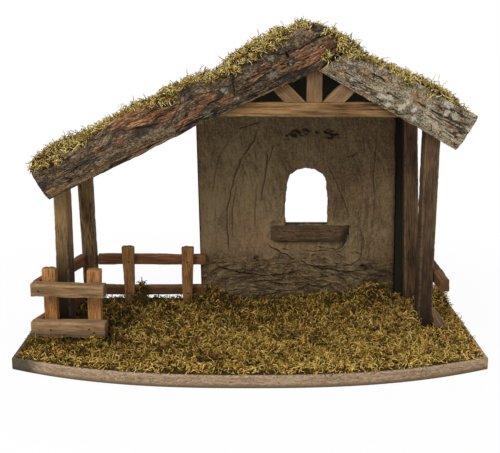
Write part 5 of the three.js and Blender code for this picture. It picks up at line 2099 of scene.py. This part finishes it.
    def roots(self, rng: np.random.Generator, count: int) -> tuple[Array, Array]:
        """Random places on the mat, clear of everything that stands in it.

        Args:
            rng: Random numbers.
            count: How many are tried.

        Returns:
            The places, in x and y.
        """
        x = rng.uniform(-244, 244, count)
        y = rng.uniform(-129, self.back - 0.5, count)
        half = self.half(y) - 3.0 - 0.6 * (x < 0)
        lip = 1.2 + 1.6 * NOISE.layers(x / 7, 0.5, 2.0, 2)
        keep = (y > self.front_edge(x) + self.inset - 0.6 + lip) & (np.abs(x) < half)
        keep &= ~((x > -60.5) & (x < 200.5) & (y > np.where(x < 178, 111.5, 116.5)))
        clumped = 0.16 + 0.5 * smooth(NOISE.at(x / 6, y / 30, 7.0), 0.1, 0.5)
        keep &= rng.random(count) < 1 - (1 - clumped) * self.worn(x, y)
        for cx, cy, half_x, half_y, turn in self.standing:
            right, away = turned(turn)
            u = (x - cx) * right[0] + (y - cy) * right[1]
            v = (x - cx) * away[0] + (y - cy) * away[1]
            keep &= (np.abs(u) > half_x) | (np.abs(v) > half_y)
        return x[keep], y[keep]

    def tint(self, x: Array, y: Array, rng: np.random.Generator) -> Array:
        """Stem colour: random, golden in patches and paler to the right; painted shade towards the back,
        under the front fence's low rail and inside the left end, and painted light along the front lip.
        """
        patchy = 0.23 * rng.normal(size=len(x)) + 0.34 * NOISE.layers(x / 16, y / 16, 3.0, 3)
        # Painted shade under the front fence's low rail and inside the left end.
        shaded = 0.3 * hump(x, -190, 46) * hump(y, -42, 9) + 0.25 * hump(x, -185, 30) * hump(y, 30, 40)
        # Painted light along the mat's front lip.
        lip = 0.3 * np.exp(-np.maximum(y - self.front_edge(x) - self.inset, 0) / 7)
        # Darker towards the back: painted shade under the roof.
        return np.clip(0.48 + patchy - shaded + lip - 0.0011 * (y + 60) + 0.0007 * x, 0, 1)

    def stem_patches(self) -> list[Patch]:
        """All stems, in strips from left to right so that each stays a light piece."""
        rng = np.random.default_rng(self.seed)
        x, y = self.roots(rng, int(self.stems * 1.28))
        tint = self.tint(x, y, rng)
        normals = slope_normals(self.height, x, y)
        roots = stack(x, y, self.height(x, y) - 1.8)
        rear = (y > 85) | (np.abs(x) > 235)
        strip = ((x + self.width / 2) / self.width * self.strips).astype(int)
        strip = np.clip(strip, 0, self.strips - 1)
        patches = []
        for n in range(self.strips):
            pick = strip == n
            shares = {
                Growth.MAT: 0.0,
                Growth.CURL: np.where(rear, 0.2, 0.34)[pick],
                Growth.TUFT: np.where(rear, 0.4, 0.1)[pick],
            }
            patches.append(Growth.mixed(shares, roots[pick], normals[pick], tint[pick], rng))
        return patches

    def strays(self) -> Patch:
        """Dark tufts at the back edge, and pale strands at feet and on the fence's low rail."""
        rng = np.random.default_rng(self.seed + 1)
        parts = []
        for tuft in self.tufts:
            roots = rng.normal(size=(tuft.count, 3)) * tuft.spread + tuft.place
            roots[:, 2] = np.maximum(roots[:, 2], self.height(roots[:, 0], roots[:, 1]) - 0.6)
            normals = unit(rng.normal(size=(tuft.count, 3)) * 0.35 + (0, -0.2, 1.0))
            tint = np.clip(rng.normal(tuft.tint, 0.14, tuft.count), 0, 1)
            parts.append(tuft.growth.grow(roots, normals, tint, rng))
        return Patch.joined(parts)

    def build(self) -> None:
        """Makes the bed, the stems and the strays in place of the CAD mat."""
        node = ["moss_floor"]
        self.bed().piece("floor_moss_bed", Finish.MOSS_BED.material(), "moss", node)
        for n, patch in enumerate(self.stem_patches()):
            patch.piece(f"floor_moss_stems_{n + 1}", Finish.FLOOR_MOSS.material(), "moss", node)
        self.strays().piece("floor_moss_strays", Finish.FLOOR_MOSS.material(), "moss", node)


@dataclass
class RoofMoss:
    """One slope's mat: a bed on the panel, stems over it, and clumps over the slab's edge.

    A clump over the edge is its low and high x, how many stems and how far down they root. A
    sprig on the face is its middle in x and z, how far it spreads both ways, how many stems
    and their kind.
    """

    name: str
    node: str
    edge: Callable[[Array], Array]
    slab_top: Callable[[Array], Array]
    from_x: float
    to_x: float
    start: Pair
    end: Pair
    stems: int
    clumps: tuple[tuple[float, float, int, float], ...]
    sprigs: tuple[tuple[float, float, float, float, int, Growth], ...]
    seed: int
    mounds: tuple[Vector, ...] = ()
    thin: tuple[Vector, ...] = ()
    full: float = 13.0
    front: float = -18.5
    back: float = 125.0

    def over(self, x: Array) -> Array:
        """1 where the mat creeps over the slab's edge, 0 where the bark is bare."""
        shares = [
            min(1.0, drop / 3) * smooth(x, low - 5, low + 3) * smooth(-x, -high - 5, -high + 3)
            for low, high, _, drop in self.clumps
        ]
        return np.max(shares, axis=0)

    def ends(self, x: Array) -> Array:
        """Share of the full height near either end of the mat."""
        first = self.start[0] + (x - self.from_x) / self.start[1]
        last = self.end[0] + (self.to_x - x) / self.end[1]
        return np.clip(np.minimum(first, last), 0.05, 1)

    def height(self, x: Array, y: Array) -> Array:
        """Height of the mat's top: mounds and lumps over the panel, thin at the rims."""
        mounds = sum(rise * hump(x, middle, width) for middle, width, rise in self.mounds)
        rough = 2.4 * NOISE.layers(x / 9, y / 9, 6.1, 2)
        bare = sum((share * hump(x, middle, width) for middle, width, share in self.thin), 0.0)
        full = (self.full + mounds + 1.4 * lumps(x + 40, y) + rough) * (1 - bare)
        rim = np.clip(np.minimum((y - self.front - 2.0) / 12, (self.back + 3 - y) / 12), 0, 1)
        mat = self.edge(x) - 6 + GAP + full * self.ends(x) * rim
        over = np.where(y < -5.0, self.slab_top(x) + 0.6, self.edge(x) - 5.4)
        return np.maximum(mat, over)

    def bed(self) -> Patch:
        """The bed: sections from front to back carried along the roof.

        Its top is the mat's height less 3.8 mm, and its underside lies on the panel.

        Returns:
            The closed surface.
        """
        x = np.linspace(self.from_x + 2.5, self.to_x - 1.5, 180)[:, None]
        y = np.linspace(-5.2, self.back - 1, 60)[None, :]
        x, y = x + 0 * y, y + 0 * x
        under = self.edge(x) - 5.9
        top = np.maximum(self.height(x, y) - 3.8 + 1.0 * NOISE.layers(x / 3.2, y / 3.2, 2.0, 2), under + 0.2)
        rings = stack(
            np.hstack([x, x[:, ::-1]]),
            np.hstack([y, y[:, ::-1]]),
            np.hstack([top, under[:, ::-1]]),
        )
        return Patch.tube(rings, {})

    def tint(self, x: Array, y: Array, rng: np.random.Generator) -> Array:
        """Stem colour: random, in patches."""
        own = 0.5 + 0.27 * rng.normal(size=len(x))
        return np.clip(own + 0.34 * NOISE.layers(x / 11, y / 11, 1.0, 2), 0, 1)

    def cover(self) -> list[Patch]:
        """Stems all over the mat, in light pieces."""
        rng = np.random.default_rng(self.seed)
        x = rng.uniform(self.from_x + 2, self.to_x - 1, self.stems)
        y = self.front + 5 + (self.back - self.front - 6) * rng.uniform(0, 1, self.stems) ** 1.45
        keep = rng.random(self.stems) < np.maximum(self.ends(x) ** 0.5, 0.25)
        keep &= y > -6.5 - 7 * self.over(x)
        x, y = x[keep], y[keep]
        roots = stack(x, y, self.height(x, y) - 2.0)
        normals = slope_normals(self.height, x, y)
        tint = self.tint(x, y, rng)
        patches = []
        for part in np.array_split(np.argsort(x), max(1, math.ceil(len(x) / 6000))):
            shares = {Growth.MAT: 0.0, Growth.CURL: 0.52, Growth.TUFT: 0.08, Growth.CREEPER: 0.035}
            patches.append(Growth.mixed(shares, roots[part], normals[part], tint[part], rng))
        return patches

    def fringe(self) -> Patch:
        """Short curly stems in clumps over the slab's upper edge, and sprigs on its face."""
        rng = np.random.default_rng(self.seed + 1)
        parts = []
        for low, high, count, drop in self.clumps:
            x = rng.uniform(low, high, count)
            down = drop * rng.uniform(0, 1, count) ** 1.4
            y = np.where(down > 1.0, self.front - 0.6, rng.uniform(self.front - 0.5, self.front + 8, count))
            roots = stack(x, y, self.slab_top(x) + 1.5 - down)
            normals = unit(rng.normal(size=(count, 3)) * 0.35 + (0, -0.7, 0.6))
            parts.append(Growth.FRINGE.grow(roots, normals, self.tint(x, y, rng), rng, lean=(0, -0.15, 0.1)))
        for x, z, spread_x, spread_z, count, growth in self.sprigs:
            roots = rng.normal(size=(count, 3)) * (spread_x / 2, 0.5, spread_z / 2) + (x, self.front - 0.8, z)
            normals = unit(rng.normal(size=(count, 3)) * 0.35 + (0, -0.8, 0.3))
            tint = np.clip(rng.normal(0.7, 0.18, count), 0, 1)
            parts.append(growth.grow(roots, normals, tint, rng))
        return Patch.joined(parts)

    def build(self) -> None:
        """Makes the bed, the cover and the fringe in place of the CAD mat."""
        node = [self.node]
        self.bed().piece(f"{self.name}_bed", Finish.MOSS_BED.material(), "moss", node)
        for n, patch in enumerate(self.cover()):
            patch.piece(f"{self.name}_stems_{n + 1}", Finish.ROOF_MOSS.material(), "moss", node)
        self.fringe().piece(f"{self.name}_fringe", Finish.ROOF_MOSS.material(), "moss", node)


def left_slab_top(x: Array) -> Array:
    """Upper edge of the left slab, with its raised rims."""
    return ROOF.left(x) + LEFT_SLAB.rim((x + 234) / math.cos(math.atan(ROOF.left_slope)))


def right_slab_top(x: Array) -> Array:
    """Upper edge of whichever slab lies before the right panel."""
    left_end = ROOF.ridge_z - (x - ROOF.ridge_x) * 1.0145
    return np.where(x > 102.5, ROOF.right(x), np.maximum(ROOF.right(x), left_end))


LEFT_MOSS = RoofMoss(
    "left_roof_moss_mat", "left_roof_moss", ROOF.left, left_slab_top,
    from_x=-236.0,
    to_x=76.0,
    start=(0.7, 12.0),
    end=(0.35, 22.0),
    stems=11000,
    clumps=(
        (-234, -222, 50, 0.6), (-222, -212, 50, 2.8), (-212, -196, 90, 0.8), (-181, -172, 20, 0.5),
        (-108, -101, 24, 3.5), (-100, -84, 40, 0.3), (-84, -76, 34, 4.0), (-70, -50, 16, 0.2),
        (-45, -36, 34, 2.0), (-34, -22, 50, 1.5), (-22, -12, 54, 6.0), (-12, 0, 40, 1.0), (0, 17, 36, 1.0),
        (22, 28, 26, 3.5), (28, 36, 20, 0.5),
    ),
    sprigs=(
        (80, 321, 3, 9, 12, Growth.CURL), (-203, 209, 3, 3, 16, Growth.FRINGE),
        (78, 344, 3, 4, 10, Growth.FRINGE), (58, 352, 8, 3, 9, Growth.CURL),
    ),
    seed=21,
    mounds=(
        (-222, 12, 5.0), (-140, 16, 1.5), (-108, 9, -3.0), (-94, 9, 2.5), (-40, 16, -7.5), (5, 24, 3.0),
        (28, 9, 3.0), (44, 9, -3.5),
    ),
    thin=((70, 8, 0.85),),
)
RIGHT_MOSS = RoofMoss(
    "right_roof_moss_mat", "right_roof_moss", ROOF.right, right_slab_top,
    from_x=81.0,
    to_x=238.0,
    start=(1.0, 12.0),
    end=(0.12, 26.0),
    stems=5600,
    clumps=(
        (87, 103, 80, 2.5), (103, 112, 50, 5.0), (112, 126, 24, 1.0), (126, 156, 20, 0.2),
        (158, 170, 20, 3.0), (175, 200, 14, 0.2), (200, 228, 14, 0.2),
    ),
    sprigs=(
        (94, 333, 5, 7, 30, Growth.FRINGE), (103, 323, 4, 4, 20, Growth.FRINGE),
        (84, 322, 7, 3, 7, Growth.CREEPER), (85, 346, 4, 3, 8, Growth.CURL),
        (193, 284, 12, 3, 10, Growth.CREEPER),
    ),
    seed=31,
    mounds=((108, 10, 3.0), (129, 14, -6.0), (152, 14, -3.0)),
)


# Boards kept as the solids have them


def finish_boards() -> None:
    """Gives the plain boards that the CAD already shapes right their finishes."""
    for node, finish in (
        ("base_board", Finish.CHIPBOARD),
        ("wall_board", Finish.WALL_BOARD),
        ("right_roof_panel", Finish.ROOF_BOARD),
    ):
        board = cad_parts[node]
        board.data.materials.clear()
        board.data.materials.append(finish.material())
        LOG.info("%s: finished", node)


# Studio


@dataclass
class Studio:
    """The camera at the photograph's place, soft lamps, and a white floor and surround."""

    lens: float = 72.0
    sensor: float = 36.0
    eye: Vector = (0.0, -1.062, 0.386)
    down: float = 13.3
    fill: float = 0.58
    aim: Vector = (0.0, 0.0, 0.15)
    lamps: tuple[tuple[str, Vector, float, float], ...] = (
        ("key_lamp", (-0.75, -1.25, 1.4), 0.7, 20.0),
        ("side_lamp", (1.3, -0.7, 0.7), 1.0, 2.2),
    )

    def camera(self) -> None:
        """Sets the camera."""
        data = bpy.data.cameras.new("camera")
        data.lens, data.sensor_width = self.lens, self.sensor
        data.clip_start = 0.01
        camera = bpy.data.objects.new("camera", data)
        camera.location = self.eye
        camera.rotation_euler = (math.radians(90 - self.down), 0.0, 0.0)
        bpy.context.scene.collection.objects.link(camera)
        bpy.context.scene.camera = camera

    def lamp(self, name: str, place: Vector, size: float, power: float) -> None:
        """Hangs a square soft lamp that faces the middle of the stable.

        Args:
            name: Its name.
            place: Where it hangs, in metres.
            size: Its side.
            power: Its power in watts.
        """
        data = bpy.data.lights.new(name, "AREA")
        data.shape, data.size, data.energy = "SQUARE", size, power
        lamp = bpy.data.objects.new(name, data)
        aim = np.array(self.aim) - np.array(place)
        lamp.location = place
        tilt = math.atan2(math.hypot(aim[0], aim[1]), -aim[2])
        lamp.rotation_euler = (tilt, 0.0, math.atan2(-aim[0], aim[1]))
        bpy.context.scene.collection.objects.link(lamp)

    def surround(self) -> None:
        """An even sky: white to the camera and to gloss, softer as light."""
        world = bpy.data.worlds.new("surround")
        bpy.context.scene.world = world
        world.use_nodes = True
        nodes, links = world.node_tree.nodes, world.node_tree.links
        nodes.clear()
        path = nodes.new("ShaderNodeLightPath")
        shown = [path.outputs[name] for name in ("Is Camera Ray", "Is Glossy Ray", "Is Transmission Ray")]
        total = shown[0]
        for other in shown[1:]:
            both = nodes.new("ShaderNodeMath")
            both.operation = "MAXIMUM"
            links.new(total, both.inputs[0])
            links.new(other, both.inputs[1])
            total = both.outputs[0]
        strength = nodes.new("ShaderNodeMapRange")
        links.new(total, strength.inputs[0])
        strength.inputs[3].default_value = self.fill
        strength.inputs[4].default_value = 1.0
        sky = nodes.new("ShaderNodeBackground")
        sky.inputs[0].default_value = (1.0, 1.0, 1.0, 1.0)
        links.new(strength.outputs[0], sky.inputs[1])
        links.new(sky.outputs[0], nodes.new("ShaderNodeOutputWorld").inputs[0])

    def floor(self) -> None:
        """A wide white sheet under the board that keeps a faint shadow."""
        half, height, lines = 6.0, -0.0003, 9
        x, y = np.meshgrid(*2 * [np.linspace(-half, half, lines)])
        points = stack(x, y, height).reshape(-1, 3)
        index = np.arange(lines**2).reshape(lines, lines)
        quads = stack(index[:-1, :-1], index[:-1, 1:], index[1:, 1:], index[1:, :-1]).reshape(-1, 4)
        mesh = bpy.data.meshes.new("floor")
        mesh.from_pydata(points.tolist(), [], quads.tolist())
        g = Graph("floor_sheet")
        paper = g.noise(g.place(), 0.02, 2)
        sheet = g.add(
            "BsdfPrincipled",
            sockets={
                "Base Color": g.colours(paper, (0.3, (240, 240, 239)), (0.7, (246, 246, 245))),
                "Roughness": 0.9, "Specular IOR Level": 0.1,
            },
        )
        glow = g.add("Emission", sockets={"Color": (1.0, 1.0, 1.0, 1.0), "Strength": 1.0})
        reach = g.add("VectorMath", {"operation": "LENGTH"}, {0: g.place()}, output="Value")
        seen = g.add("LightPath", output="Is Camera Ray") * (reach.ramp(250.0, 700.0) * 0.06 + 0.94)
        g.add("OutputMaterial", sockets={"Surface": g.add("MixShader", sockets={0: seen, 1: sheet, 2: glow})})
        mesh.materials.append(g.material)
        floor = bpy.data.objects.new("floor", mesh)
        bpy.context.scene.collection.objects.link(floor)

    def build(self) -> None:
        """Sets camera, lamps, surround and floor."""
        self.camera()
        for lamp in self.lamps:
            self.lamp(*lamp)
        self.surround()
        self.floor()
        bpy.context.scene.view_settings.view_transform = "Standard"


def note_size() -> None:
    """Brings the scene's placements up to date."""
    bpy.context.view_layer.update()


def main() -> None:
    """Builds the studio and each part of the stable in order."""
    logging.basicConfig(level=logging.INFO, format="%(message)s")
    Studio().build()
    finish_boards()
    Posts().build()
    LeftPanel().build()
    Fences().build()
    Truss().build()
    for slab in (LEFT_SLAB, RIGHT_SLAB):
        slab.build()
    Wall().build()
    GroundMoss().build()
    for mat in (LEFT_MOSS, RIGHT_MOSS):
        mat.build()
    note_size()


if __name__ == "__main__":
    main()
